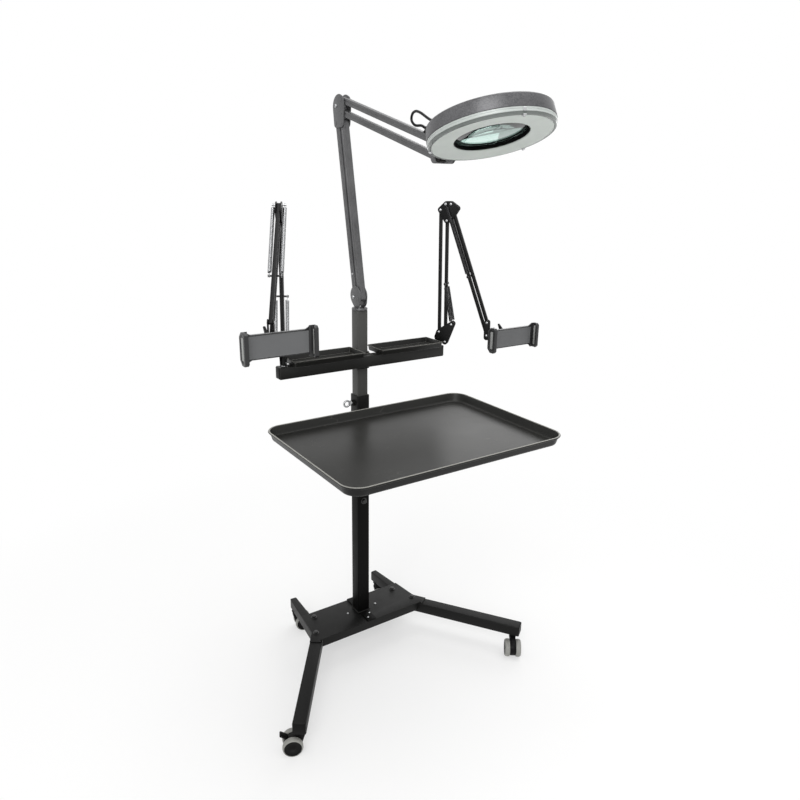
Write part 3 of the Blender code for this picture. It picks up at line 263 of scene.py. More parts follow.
def trayEnamel(centre):
    # baked satin enamel on pressed steel: even dark grey, soft sheen, fine scratches from rubbing, with
    # painted shade on the outer walls and a painted highlight on the bead
    f = Finish("bakedSatinEnamel")
    turned = f.add("ShaderNodeMapping", sockets={"Rotation": (0, 0, 0.5), "Scale": (1, 9, 1)},
                   links={"Vector": f.coord})
    lines = f.cells(38, "DISTANCE_TO_EDGE", turned.outputs[0]).outputs["Distance"]
    patch = f.noise(70, 3)
    mark = f.times(f.span(lines, 0, 0.02, 1, 0), f.span(patch, 0.56, 0.72, 0, 0.35))
    scratched = f.tint(mark, f.tint(f.noise(220, 3), "222220", "2b2b29"), "8c8b86")
    # painted shade: the outside walls are darker; painted highlight: the top of the bead is lighter
    spread = f.add("ShaderNodeVectorMath", {"operation": "SUBTRACT"}, {1: centre}, {0: f.coord}).outputs[0]
    outward = f.towards(f.add("ShaderNodeNewGeometry").outputs["Normal"], spread)
    # painted shade on the outward-facing walls
    coat = f.tint(f.span(outward, 0.05, 0.11), scratched, "0c0c0b")
    height = f.add("ShaderNodeSeparateXYZ", links={0: spread}).outputs["Z"]
    # painted highlight along the top of the bead
    paintedBeadHighlight = f.tint(f.span(height, -0.0012, -0.0002, 0, 0.9), coat, "a3a29c")
    return f.done(paintedBeadHighlight, f.span(patch, 0, 1, 0.30, 0.40), (f.noise(3.5, 2), 0.08, 0.0003),
                  {"Specular IOR Level": 0.23})


def hammerPaint(name, darkHex, lightHex, rough):
    # hammertone stoving paint with aluminium flake: speckled grey, softly pitted
    f = Finish(name)
    # flakes are under half a millimetre, drawn at 1.1 mm so that they show
    level = f.add("ShaderNodeMath", {"operation": "MULTIPLY_ADD"}, {1: 0.7},
                  {0: f.cells(1.1).outputs["Color"], 2: f.noise(60, 3)})
    share = f.span(level.outputs[0], 0.35, 1.15)
    pits = f.cells(2.6, "SMOOTH_F1").outputs["Distance"]
    return f.done(f.tint(share, darkHex, lightHex), f.span(share, 0, 1, rough - 0.05, rough + 0.1),
                  (pits, 0.2, 0.0004), {"Metallic": 0.3})


def zincSteel(name, darkHex, lightHex, rough):
    # zinc plated steel: bright, a little cloudy, finely drawn
    f = Finish(name)
    cloud = f.noise(6, 5)
    return f.done(f.tint(cloud, darkHex, lightHex), f.span(cloud, 0, 1, rough - 0.08, rough + 0.1),
                  (f.noise(0.8, 2), 0.08, 0.0001), {"Metallic": 1.0})


def mouldedPlastic(name, darkHex, lightHex, rough, grainMm, grainDepth, shine=0.5):
    # moulded ABS or nylon: even colour with a spark-eroded grain
    f = Finish(name)
    cloud = f.noise(45, 4)
    return f.done(f.tint(cloud, darkHex, lightHex), f.span(cloud, 0, 1, rough - 0.06, rough + 0.08),
                  (f.noise(grainMm, 3), 0.2, grainDepth), {"Specular IOR Level": shine})


def frostedAcrylic():
    # sand-blasted acrylic light panel: greenish white, dull, light goes a little way in
    f = Finish("frostedAcrylic")
    frost = f.noise(1.2, 3)
    return f.done(f.tint(f.noise(30, 3), "c3cac5", "d5dbd6"), f.span(frost, 0, 1, 0.42, 0.58),
                  (frost, 0.15, 0.0002), {"IOR": 1.49, "Subsurface Weight": 0.25,
                                          "Subsurface Radius": (0.004, 0.005, 0.004)})


def clearStock(name, tintHex, edgeHex, ior, rough, clarity):
    # clear stock, acrylic or optical glass: smooth, with a tint that varies slightly
    f = Finish(name)
    cloud = f.noise(50, 2)
    return f.done(f.tint(cloud, tintHex, edgeHex), f.span(cloud, 0.55, 0.8, rough, rough + 0.05),
                  None, {"IOR": ior, "Transmission Weight": clarity})


# each finish: its slot in the record and its material
finish = {
    "stand": ("stand_paint",
              powderCoat("blackPowderCoat", "0c0c0c", "141413", "5b5a56", 0.46, 2.4, 0.17, 0.4)),
    "arm": ("arm_paint", powderCoat("armPowderCoat", "0c0c0c", "141414", "4a4a46", 0.40, 2.0, 0.17, 0.15)),
    "smallTray": ("small_tray",
                  powderCoat("trayPowderCoat", "181817", "2a2a28", "a9a8a2", 0.36, 2.2, 0.25, 1.5)),
    # the lower tube's darker copy of the black powder coat is painted shade
    "shaft": ("stand_paint",
              powderCoat("paintedShadePowderCoat", "060606", "0c0c0b", "42413e", 0.46, 2.4, 0.08, 0.3)),
    # the upper tube's paler copy of the black powder coat is painted light
    "mast": ("stand_paint",
             powderCoat("paintedLightPowderCoat", "3d3d3b", "4c4c4a", "86857f", 0.42, 2.4, 0.3, 0.5)),
    "tray": ("tray", trayEnamel((column["x"], column["y"] - 0.2085, 0.599))),
    "lamp": ("lamp_paint", hammerPaint("greyHammerPaint", "3b3b3c", "626263", 0.36)),
    "shell": ("lamp_shell", hammerPaint("shellHammerPaint", "38383a", "666668", 0.33)),
    "zinc": ("bright_steel", zincSteel("zincPlatedSteel", "a4a5a6", "d0d1d2", 0.28)),
    "leftSpring": ("bright_steel", zincSteel("brightSpringWire", "8f9091", "c6c7c8", 0.24)),
    # the right arm's springs are a darker copy of the same spring wire: painted shade
    "rightSpring": ("bright_steel", zincSteel("shadedSpringWire", "2b2b2c", "515152", 0.34)),
    "blackBolt": ("black_plastic",
                  mouldedPlastic("blackOxideSteel", "131313", "1d1d1d", 0.38, 1.6, 0.0001)),
    "nylon": ("black_plastic", mouldedPlastic("blackNylon", "070707", "0d0d0d", 0.42, 1.4, 0.0002, 0.12)),
    "holder": ("holder_plastic", mouldedPlastic("satinGreyABS", "58595a", "666768", 0.34, 1.2, 0.00015)),
    "jaw": ("holder_plastic", mouldedPlastic("blackABS", "171718", "222223", 0.33, 1.3, 0.0002)),
    "pad": ("holder_plastic", mouldedPlastic("paleSiliconePad", "8f908e", "a6a7a5", 0.55, 1.5, 0.0002)),
    "tyre": ("castor_tyre", mouldedPlastic("greyRubberTyre", "787874", "a3a39e", 0.5, 2.0, 0.0003)),
    "cord": ("cord", mouldedPlastic("blackPVC", "0a0a0b", "111112", 0.4, 1.5, 0.0002, 0.15)),
    "frost": ("diffuser", frostedAcrylic()),
    "opal": ("diffuser", clearStock("opalAcrylic", "c9d0cc", "dde2df", 1.49, 0.3, 0.25)),
    "smoke": ("diffuser", clearStock("smokyAcrylic", "7d8480", "949a97", 1.49, 0.18, 0.45)),
    "glass": ("lens", clearStock("crownGlass", "7d948d", "91a59f", 1.52, 0.0, 1.0)),
}
print("finishes mixed:", len(finish))


# shapes

def softenEdges(shape, width, steps=2, least=40):
    shape.normal_update()
    sharp = [e for e in shape.edges if len(e.link_faces) == 2 and e.calc_face_angle(0) > radians(least)]
    if width and sharp:
        bmesh.ops.bevel(shape, geom=sharp, offset=width, offset_type="OFFSET", segments=steps,
                        profile=0.5, affect="EDGES", clamp_overlap=True, material=-1)
    return shape


def sinkFaces(shape, faces, steps):
    for inwards, depth in steps:
        bmesh.ops.inset_region(shape, faces=faces, thickness=inwards, depth=depth,
                               use_even_offset=True, use_boundary=True)


def block(low, high, soft=0.0006, steps=2):
    shape = bmesh.new()
    size, middle = Vector(high) - Vector(low), (Vector(high) + Vector(low)) / 2
    bmesh.ops.create_cube(shape, size=1, matrix=Matrix.Translation(middle) @ Matrix.Diagonal((*size, 1)))
    return softenEdges(shape, soft, steps)


def facing(axis, at):
    # turns a shape made along Z to run along another axis
    turn = {"Z": Matrix(), "Y": spun(-90, "X"),
            "-Y": spun(90, "X"), "X": spun(90, "Y"),
            "-X": spun(-90, "Y"), "-Z": spun(180, "X")}[axis]
    return Matrix.Translation(at) @ turn


def moved(shape, place):
    bmesh.ops.transform(shape, matrix=place, verts=shape.verts[:])
    return shape


def roundBar(radius, length, place, soft=0.0004, steps=32, tip=None):
    shape = bmesh.new()
    bmesh.ops.create_cone(shape, cap_ends=True, segments=steps, radius1=radius,
                          radius2=radius if tip is None else tip, depth=length,
                          matrix=moveTo(0, 0, length / 2))
    return moved(softenEdges(shape, soft), place)


def plate(discs, low, high, soft=0.0004, steps=40):
    # flat plate stretched round discs in the upright plane
    shape = bmesh.new()
    for (forward, up), radius in discs:
        for level in (low, high):
            bmesh.ops.create_circle(shape, cap_ends=False, segments=steps, radius=radius,
                                    matrix=facing("Y", (forward, level, up)))
    bmesh.ops.convex_hull(shape, input=shape.verts[:], use_existing_faces=False)
    bmesh.ops.delete(shape, geom=[v for v in shape.verts if not v.link_faces], context="VERTS")
    bmesh.ops.delete(shape, geom=[e for e in shape.edges if not e.link_faces], context="EDGES")
    bmesh.ops.dissolve_limit(shape, angle_limit=radians(0.5), use_dissolve_boundaries=False,
                             verts=shape.verts[:], edges=shape.edges[:])
    return softenEdges(shape, soft)


def cheekPair(discs, inner, thick, soft=0.0005):
    return [plate(discs, inner, inner + thick, soft), plate(discs, -inner - thick, -inner, soft)]


def channelBar(start, end, depth, width, slot, soft=0.0008):
    shape = plate([(start, depth / 2), (end, depth / 2)], -width / 2, width / 2, 0)
    shape.normal_update()
    for side in [f for f in shape.faces if abs(f.normal.y) > 0.9]:
        sinkFaces(shape, [side], (((depth - slot["width"]) / 2, 0), (slot["draft"], -slot["depth"])))
    return softenEdges(shape, soft)


def lathe(profile, place, steps=64, closed=True):
    shape = bmesh.new()
    chain = [shape.verts.new((radius, 0, height)) for radius, height in profile]
    pairs = zip(chain, chain[1:] + (chain[:1] if closed else []))
    edges = [shape.edges.new(pair) for pair in pairs]
    bmesh.ops.spin(shape, geom=chain + edges, cent=(0, 0, 0), axis=(0, 0, 1), dvec=(0, 0, 0),
                   angle=2 * pi, steps=steps, use_merge=True)
    bmesh.ops.remove_doubles(shape, verts=shape.verts[:], dist=1e-6)
    return moved(shape, place)


def ring(major, minor, place, turn=360, steps=48):
    # round wire bent in the XZ plane, from straight ahead upwards
    shape = bmesh.new()
    made = bmesh.ops.create_circle(shape, cap_ends=False, segments=12, radius=minor,
                                   matrix=moveTo(major, 0, 0))
    edges = list({e for v in made["verts"] for e in v.link_edges})
    bmesh.ops.spin(shape, geom=made["verts"] + edges, cent=(0, 0, 0), axis=(0, -1, 0), dvec=(0, 0, 0),
                   angle=radians(turn), steps=steps, use_merge=turn == 360)
    openEdges = [e for e in shape.edges if e.is_boundary]
    if openEdges:
        bmesh.ops.holes_fill(shape, edges=openEdges, sides=0)
    return moved(shape, place)


def squareTube(side, wall, low, high, corner):
    shape = bmesh.new()
    bmesh.ops.create_cube(shape, size=1, matrix=moveTo(0, 0, (low + high) / 2)
                          @ Matrix.Diagonal((side, side, high - low, 1)))
    upright = [e for e in shape.edges if abs(e.verts[0].co.z - e.verts[1].co.z) > 1e-4]
    bmesh.ops.bevel(shape, geom=upright, offset=corner, offset_type="OFFSET", segments=4, profile=0.5,
                    affect="EDGES", clamp_overlap=True, material=-1)
    shape.normal_update()
    caps = [f for f in shape.faces if abs(f.normal.z) > 0.9]
    for cap in caps:
        sinkFaces(shape, [cap], ((wall, 0),))
    loops = [e for cap in caps for e in cap.edges]
    bmesh.ops.delete(shape, geom=caps, context="FACES_ONLY")
    bmesh.ops.bridge_loops(shape, edges=loops)
    bmesh.ops.recalc_face_normals(shape, faces=shape.faces[:])
    return softenEdges(shape, 0.0003)


def prism(outline, low, high, soft, steps=3):
    shape = bmesh.new()
    face = shape.faces.new([shape.verts.new((x, y, low)) for x, y in outline])
    grown = bmesh.ops.extrude_face_region(shape, geom=[face])
    top = [g for g in grown["geom"] if isinstance(g, bmesh.types.BMVert)]
    bmesh.ops.translate(shape, vec=(0, 0, high - low), verts=top)
    bmesh.ops.recalc_face_normals(shape, faces=shape.faces[:])
    return softenEdges(shape, soft, steps)


def weldBead(corners, size, spacing=0.0021):
    # ripples of a fillet weld round a closed run of corners
    shape = bmesh.new()
    for start, end in zip(corners, corners[1:] + corners[:1]):
        run = Vector(end) - Vector(start)
        count = max(2, round(run.length / spacing))
        for k in range(count):
            bmesh.ops.create_icosphere(shape, subdivisions=2, radius=size,
                                       matrix=Matrix.Translation(Vector(start) + run * (k / count)))
    return shape


def screwHead(radius, height, place, hollow=0.45):
    # pan head with a round driver recess
    r, h = radius, height
    return lathe([(0, h * 0.35), (r * hollow * 0.8, h * 0.35), (r * hollow, h), (r * 0.75, h * 0.97),
                  (r * 0.93, h * 0.72), (r, h * 0.35), (r, 0), (0, 0)], place, 28, False)


def rivetHead(radius, height, place):
    r, h = radius, height
    return lathe([(0, h), (r * 0.4, h * 0.93), (r * 0.75, h * 0.68), (r * 0.95, h * 0.3), (r, 0), (0, 0)],
                 place, 24, False)


def hexBolt(radius, height, place):
    washer = roundBar(radius * 1.35, height * 0.25, place, 0.0002)
    head = roundBar(radius, height, place @ moveTo(0, 0, height * 0.22), 0.0005, 6)
    return [washer, head]


def copyNode(node, soft):
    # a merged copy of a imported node, with its edges eased
    shape = bmesh.new()
    shape.from_mesh(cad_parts[node].data)
    bmesh.ops.remove_doubles(shape, verts=shape.verts[:], dist=1e-5)
    bmesh.ops.dissolve_limit(shape, angle_limit=radians(1), use_dissolve_boundaries=False,
                             verts=shape.verts[:], edges=shape.edges[:])
    return softenEdges(shape, soft)


def makePiece(name, shapes, look, body, nodes=(), place=None, crease=40):
    usualSlot, material = finish[look]
    whole = bmesh.new()
    buffer = bpy.data.meshes.new(name)
    for shape in shapes:
        bmesh.ops.remove_doubles(shape, verts=shape.verts[:], dist=1e-7)
        bmesh.ops.recalc_face_normals(shape, faces=shape.faces[:])
        if place is not None:
            bmesh.ops.transform(shape, matrix=place, verts=shape.verts[:])
        shape.to_mesh(buffer)
        shape.free()
        whole.from_mesh(buffer)
    whole.to_mesh(buffer)
    whole.free()
    buffer.shade_smooth()
    buffer.set_sharp_from_angle(angle=radians(crease))
    buffer.materials.clear()
    buffer.materials.append(material)
    piece = bpy.data.objects.new(name, buffer)
    bpy.context.collection.objects.link(piece)
    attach(piece, body)
    if nodes:
        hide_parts(*nodes)
    return piece


def alongFrom(start, length, angle):
    # angle from straight up to forward, in degrees
    return (start[0] + length * sin(radians(angle)), start[1] + length * cos(radians(angle)))


def shifted(point, step):
    return (point[0] + step[0], point[1] + step[1])


# magnifier lamp: places are (forward, up) in its own upright plane

lamp = {"basePivot": (0.010, 0.8306), "lowerSpacing": 0.020, "lowerLength": 0.3468, "lowerLean": -11.0,
        "elbowStep": (0.001, 0.0183), "upperSpacing": 0.0233, "upperLength": 0.3275, "upperSlope": 16.1,
        "headStep": (0.0272, -0.0251), "headTilt": 17.1, "barWidth": 0.012, "lowerDepth": 0.014,
        "upperDepth": 0.0112, "cheek": 0.0025, "columnTop": 0.804, "flange": 0.0165, "pivotRound": 0.0085,
        "socketDisc": ((-0.003, 0.0296), 0.0205), "elbowDisc": ((-0.0103, 0.0312), 0.0225),
        "flangeHeight": 0.005, "plug": (0.0107, 0.034), "socketRivet": (0.0036, 0.0012),
        "elbowRivet": (0.0034, 0.0011), "headRivet": (0.0033, 0.0011), "screw": (0.0036, 0.0020),
        "elbowScrew": (-0.0194, 0.0328), "barScrew": (0.0026, 0.0012), "barScrewAlong": 0.047,
        "forkRound": 0.010, "tiltRound": 0.009}
lampPlace = rootPlace @ spun(-90, "Z")
slope = 90 + lamp["upperSlope"]
baseFront = lamp["basePivot"]
baseRear = shifted(baseFront, (-lamp["lowerSpacing"], 0))
elbowFront = alongFrom(baseFront, lamp["lowerLength"], lamp["lowerLean"])
elbowRear = alongFrom(baseRear, lamp["lowerLength"], lamp["lowerLean"])
underPivot = shifted(elbowFront, lamp["elbowStep"])
topPivot = shifted(underPivot, (0, lamp["upperSpacing"]))
headTop = alongFrom(topPivot, lamp["upperLength"], slope)
headUnder = alongFrom(underPivot, lamp["upperLength"], slope)
headPivot = shifted(headTop, lamp["headStep"])
headPlace = (lampPlace @ moveTo(headPivot[0], 0, headPivot[1])
             @ spun(-lamp["headTilt"], "Y"))
lampInner = lamp["barWidth"] / 2 + seatGap
lampReach = lampInner + lamp["cheek"]

lead = {"radius": 0.00225, "side": -0.018, "startBack": 0.039, "entryAhead": 0.022, "headTop": 0.0227,
        "loop": ((-0.010, 0.0115), (-0.026, 0.0130), (-0.034, 0.0210), (-0.029, 0.0305), (-0.016, 0.0340),
                 (0.002, 0.0300), (0.026, 0.0200), (0.052, 0.0100)), "perSpan": 6, "joinShare": 0.81,
        "rise": 0.005, "fall": 0.012, "sleeve": 0.010}


def leadRoute():
    start = alongFrom(topPivot, lamp["upperLength"] - lead["startBack"], slope)
    leave = alongFrom(start, lamp["upperDepth"] / 2 + seatGap, lamp["upperSlope"])
    tilt = -lamp["headTilt"]
    entry = alongFrom(alongFrom(headPivot, lead["entryAhead"], 90 + tilt), lead["headTop"] + seatGap, tilt)
    rise, fall = alongFrom(leave, lead["rise"], lamp["upperSlope"]), alongFrom(entry, lead["fall"], tilt)
    loop = [shifted(leave, step) for step in lead["loop"]]
    bow = [lead["side"] * (k + 1) / len(loop) for k in range(len(loop))]
    route = [(leave, 0), (rise, 0), *zip(loop, bow), (fall, lead["side"]), (entry, lead["side"])]
    knots = [Vector((u, w, z)) for (u, z), w in route]
    path = [knots[0]]
    for a, b, c, d in zip(knots, knots[1:], knots[2:], knots[3:]):
        for t in (k / lead["perSpan"] for k in range(lead["perSpan"])):
            path.append(0.5 * (2 * b + (c - a) * t + (2 * a - 5 * b + 4 * c - d) * t * t
                               + (3 * b - a - 3 * c + d) * t ** 3))
    return [lampPlace @ p for p in path + knots[-2:]]


def leadTube(name, points):
    data = bpy.data.curves.new(name, "CURVE")
    data.dimensions = "3D"
    data.bevel_depth = lead["radius"]
    data.bevel_resolution = 4
    data.use_fill_caps = True
    spline = data.splines.new("POLY")
    spline.points.add(len(points) - 1)
    for knot, point in zip(spline.points, points):
        knot.co = (*point, 1)
    swept = bpy.data.objects.new(name + "Path", data)
    bpy.context.collection.objects.link(swept)
    bpy.context.view_layer.update()
    mesh = bpy.data.meshes.new_from_object(swept.evaluated_get(bpy.context.evaluated_depsgraph_get()))
    bpy.data.objects.remove(swept)
    bpy.data.curves.remove(data)
    mesh.name = name
    mesh.shade_smooth()
    mesh.materials.clear()
    mesh.materials.append(finish["cord"][1])
    piece = bpy.data.objects.new(name, mesh)
    bpy.context.collection.objects.link(piece)
    return piece


def layLead():
    # two halves meet at a shrink sleeve that stays with the head bracket, so the loop never tears
    path = leadRoute()
    middle = int(len(path) * lead["joinShare"])
    first, second = path[:middle + 1], path[middle:]
    join = first[-1]
    run = (second[1] - first[-2]).normalized()
    turn = run.to_track_quat("Z", "Y").to_matrix().to_4x4()
    sleevePlace = Matrix.Translation(join - run * (lead["sleeve"] / 2)) @ turn
    r, long = lead["radius"], lead["sleeve"]
    tube = [(r * 0.6, 0), (r * 1.02, 0), (r * 1.14, 0.001), (r * 1.14, long - 0.001), (r * 1.02, long),
            (r * 0.6, long)]
    sleeve = makePiece("leadSleeve", [lathe(tube, sleevePlace, 24)], "cord", "lamp_bracket")
    barHalf, headHalf = leadTube("leadAtBar", first), leadTube("leadAtHead", second)
    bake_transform(barHalf)
    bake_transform(headHalf)
    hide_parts("lamp_cord")
    boot = [(r * 0.9, 0.010), (r * 1.25, 0.010), (r * 1.5, 0.006), (r * 1.5, 0.0045), (r * 1.8, 0.004),
            (r * 1.8, 0.0025), (r * 2.2, 0.002), (r * 2.4, -0.0006), (r * 0.9, -0.0006)]
    for name, end, towards, body in (("leadGrommet", path[0], path[1], "lamp_top"),
                                     ("headGrommet", path[-1], path[-2], "lamp_head")):
        turn = (towards - end).to_track_quat("Z", "Y").to_matrix().to_4x4()
        makePiece(name, [lathe(boot, Matrix.Translation(end) @ turn, 32)], "nylon", body)


layLead()
print("lead laid")

lowerSlot = {"width": 0.0050, "depth": 0.0015, "draft": 0.0003}
upperSlot = {"width": 0.0036, "depth": 0.0009, "draft": 0.0003}


def bothSides(head, points, size, level):
    # a rivet or screw head on each side of a pair of plates
    return [head(*size, facing(axis, (p[0], y, p[1])))
            for p in points for axis, y in (("Y", level), ("-Y", -level))]


def buildLampArm():
    top, foot = lamp["columnTop"], lamp["flange"]
    seat = top + seatGap + lamp["flangeHeight"]
    plugRadius, plugLength = lamp["plug"]
    step, radius = lamp["socketDisc"]
    cheek = [(shifted((0, top), step), radius), ((0, seat + foot - 0.0006), foot)]
    flange = [(0, top + seatGap), (foot - 0.0015, top + seatGap), (foot, top + 0.0012),
              (foot, seat - 0.0012), (foot - 0.001, seat), (0, seat)]
    makePiece("lampSocketFork",
              cheekPair(cheek, lampInner, lamp["cheek"], 0.0007)
              + [lathe(flange, Matrix(), 64, False),
                 roundBar(plugRadius, plugLength, moveTo(0, 0, top - plugLength))]
              + bothSides(rivetHead, [baseFront], lamp["socketRivet"], lampReach),
              "lamp", "lamp_socket", ["lamp_socket"], lampPlace)
    makePiece("lampSocketScrews", bothSides(screwHead, [baseRear], lamp["screw"], lampReach), "zinc",
              "lamp_socket", place=lampPlace)

    for name, start, end, depth, slot, body in (
            ("lampLowerFrontChannel", baseFront, elbowFront,
             lamp["lowerDepth"], lowerSlot, "lamp_lower_front"),
            ("lampLowerRearChannel", baseRear, elbowRear,
             lamp["lowerDepth"], lowerSlot, "lamp_lower_rear"),
            ("lampTopChannel", topPivot, headTop, lamp["upperDepth"], upperSlot, "lamp_top"),
            ("lampUnderChannel", underPivot, headUnder, lamp["upperDepth"], upperSlot, "lamp_under")):
        makePiece(name, [channelBar(start, end, depth, lamp["barWidth"], slot)], "lamp", body,
                  [body + "_bar"], lampPlace)
    spot = alongFrom(baseRear, lamp["barScrewAlong"], lamp["lowerLean"])
    makePiece("lampLowerScrews", bothSides(screwHead, [spot], lamp["barScrew"], lamp["barWidth"] / 2),
              "zinc", "lamp_lower_rear", place=lampPlace)

    step, radius = lamp["elbowDisc"]
    turns = [elbowFront, elbowRear, topPivot, underPivot]
    elbow = [(p, lamp["pivotRound"]) for p in turns] + [(shifted(elbowFront, step), radius)]
    makePiece("lampElbowCheeks", cheekPair(elbow, lampInner, lamp["cheek"], 0.0007)
              + bothSides(rivetHead, turns, lamp["elbowRivet"], lampReach), "lamp", "lamp_elbow",
              ["lamp_elbow"], lampPlace)
    makePiece("lampElbowScrews",
              bothSides(screwHead, [shifted(elbowFront, lamp["elbowScrew"])], lamp["screw"], lampReach),
              "zinc", "lamp_elbow", place=lampPlace)

    cheek = [(headTop, lamp["forkRound"]), (headUnder, lamp["forkRound"]), (headPivot, lamp["tiltRound"])]
    makePiece("lampHeadFork", cheekPair(cheek, lampInner, lamp["cheek"], 0.0006)
              + bothSides(rivetHead, [headTop, headUnder], lamp["headRivet"], lampReach), "lamp",
              "lamp_bracket", ["lamp_head_bracket"], lampPlace)


tiltKnob = {"radius": 0.008, "length": 0.012, "lobes": 8, "dip": 0.07, "pin": 0.003, "pinStart": 0.010,
            "pinSpare": 0.012,
            "nut": ((0, 0), (0.0042, 0), (0.0046, 0.0006), (0.0046, 0.0042), (0.0036, 0.0066),
                    (0.0020, 0.0078), (0, 0.0082))}


def buildTiltKnob():
    near = -lampReach - seatGap
    grip = bmesh.new()
    bmesh.ops.create_cone(grip, cap_ends=True, segments=96, radius1=tiltKnob["radius"],
                          radius2=tiltKnob["radius"] * 0.94, depth=tiltKnob["length"],
                          matrix=moveTo(0, 0, tiltKnob["length"] / 2))
    for vert in grip.verts:
        lobe = 1 - tiltKnob["dip"] * (0.5 - 0.5 * cos(tiltKnob["lobes"] * atan2(vert.co.y, vert.co.x)))
        vert.co.x *= lobe
        vert.co.y *= lobe
    grip.normal_update()
    end = [f for f in grip.faces if f.normal.z > 0.9]
    sinkFaces(grip, end, ((0.0014, 0), (0.0006, -0.0008)))
    softenEdges(grip, 0.0005, least=50)
    moved(grip, facing("-Y", (headPivot[0], near, headPivot[1])))
    makePiece("lampTiltKnob", [grip], "nylon", "lamp_knob", ["lamp_tilt_knob"], lampPlace)
    pin = roundBar(tiltKnob["pin"], 2 * lampReach + tiltKnob["pinSpare"],
                   facing("Y", (headPivot[0], -lampReach - tiltKnob["pinStart"], headPivot[1])))
    makePiece("lampTiltPin", [pin], "zinc", "lamp_head", place=lampPlace)
    nut = lathe(tiltKnob["nut"], facing("Y", (headPivot[0], lampReach + 0.0002, headPivot[1])), 32, False)
    makePiece("lampTiltNut", [nut], "nylon", "lamp_head", place=lampPlace)


head = {"radius": 0.0978, "reach": 0.1083, "top": 0.0227, "seam": 0.0018, "rim": -0.0046, "face": -0.0088,
        "bottom": -0.0068, "wall": 0.002, "taper": 0.0018, "soft": 0.003, "lens": 0.0572, "lensEdge": 0.005,
        "lensCrown": 0.0055, "clips": (-12.5, 107.5, 227.5)}


def arcPoints(centre, radius, start, end, count):
    return [(centre[0] + radius * cos(radians(start + (end - start) * k / count)),
             centre[1] + radius * sin(radians(start + (end - start) * k / count)))
            for k in range(count + 1)]


def buildLampHead():
    outer, top, seam, wall, soft = (head[k] for k in ("radius", "top", "seam", "wall", "soft"))
    bore, brim = head["lens"] + seatGap, outer - head["taper"]
    middle = headPlace @ moveTo(head["reach"], 0, 0)
    crown = (arcPoints((outer - 0.0006, seam + 0.0006), 0.0006, -90, 0, 3)
             + arcPoints((brim - soft, top - soft), soft, 0, 90, 8)
             + arcPoints((bore + soft, top - soft), soft, 90, 180, 8))
    shell = lathe([*crown, (bore, seam), (bore + wall, seam), (bore + wall, top - soft),
                   (bore + soft, top - wall), (brim - soft, top - wall), (brim - wall, top - soft),
                   (outer - wall, seam)], moveTo(head["reach"], 0, 0), 160)
    back = head["reach"] - outer + wall * 0.8
    lug = plate([((0, 0), 0.0085), ((back - 0.002, seam + 0.0022), 0.002),
                 ((back - 0.002, (seam + top) / 2), 0.002)], -lamp["barWidth"] / 2, lamp["barWidth"] / 2,
                0.0008)
    makePiece("lampHeadShell", [shell, lug], "shell", "lamp_head", ["lamp_head_shell"], headPlace, 50)

    # light panel: an opal outer wall with a groove, a smoky bevel under it and a frosted face
    high, out, low = seam - seatGap, outer - 0.0008, head["bottom"]
    rim, face = head["rim"], head["face"]
    edge = out - wall
    opal = lathe([(out - wall, high), (out, high), (out, high - 0.0022), (out - 0.0005, high - 0.0025),
                  (out - 0.0005, high - 0.0031), (out, high - 0.0034),
                  *arcPoints((out - 0.0006, rim + 0.0006), 0.0006, 0, -80, 4), (out - wall, rim + 0.0004)],
                 middle, 160)
    makePiece("lampRimWall", [opal], "opal", "lamp_head")
    bevel = lathe([(out - 0.0007, rim - 0.0001), (edge + 0.0001, face + 0.0002), (edge - 0.0028, face),
                   (edge - 0.0028, face + 0.0012), (out - wall, rim + 0.0002)], middle, 160)
    makePiece("lampRimBevel", [bevel], "smoke", "lamp_head")
    panel = lathe([(edge - 0.0030, face + 0.0010), (edge - 0.0034, face),
                   (bore + wall + 0.001, low - 0.0001), (bore + wall, low), (bore + 0.0006, low + 0.0003),
                   (bore, low + 0.0012), (bore, high), (bore + wall, high), (bore + wall, low + wall),
                   (edge - 0.0030, face + wall)], middle, 160)
    makePiece("lampLightPanel", [panel], "frost", "lamp_head", ["lamp_diffuser"])

    edgeTop = seam + head["lensEdge"]
    steps = [k / 12 for k in range(12, -1, -1)]
    crown = [(head["lens"] * s, edgeTop + head["lensCrown"] * (1 - s * s)) for s in steps]
    belly = [(head["lens"] * s, seam - head["lensCrown"] * (1 - s * s)) for s in steps[::-1]]
    makePiece("lampLens", [lathe(belly + crown, middle, 128, False)], "glass", "lamp_head", ["lamp_lens"])
    # black sleeves and hoops hold the lens in the bore
    hoops = []
    for inside, floor, roof in ((0.0007, low + 0.0016, seam - 0.0024),
                                (0.0007, edgeTop + 0.0026, top - soft),
                                (0.0024, edgeTop + 0.0008, edgeTop + 0.0022),
                                (0.0024, seam - 0.0022, seam - 0.0008)):
        hoops.append(lathe([(bore - inside, floor), (bore + 0.0001, floor), (bore + 0.0001, roof),
                            (bore - inside * 0.8, roof)], middle, 128))
    makePiece("lensHoops", hoops, "nylon", "lamp_head")

    clips, screws = [], []
    for angle in head["clips"]:
        spot = middle @ spun(angle, "Z")
        clips.append(moved(block((out - 0.0004, -0.0026, rim - 0.0004),
                                 (out + 0.0008, 0.0026, high - 0.0008), 0.0004), spot))
        clips.append(moved(block((edge - 0.0040, -0.0026, face - 0.0012),
                                 (edge + 0.0016, 0.0026, face + 0.0004), 0.0004), spot))
        screws.append(screwHead(0.0021, 0.0014, spot @ facing("-Z", (edge - 0.0016, 0, face - 0.0012))))
    makePiece("lampRimClips", clips, "zinc", "lamp_head")
    makePiece("lampRimScrews", screws, "zinc", "lamp_head")


buildLampArm()
buildTiltKnob()
buildLampHead()
print("lamp dressed")


# base and castors

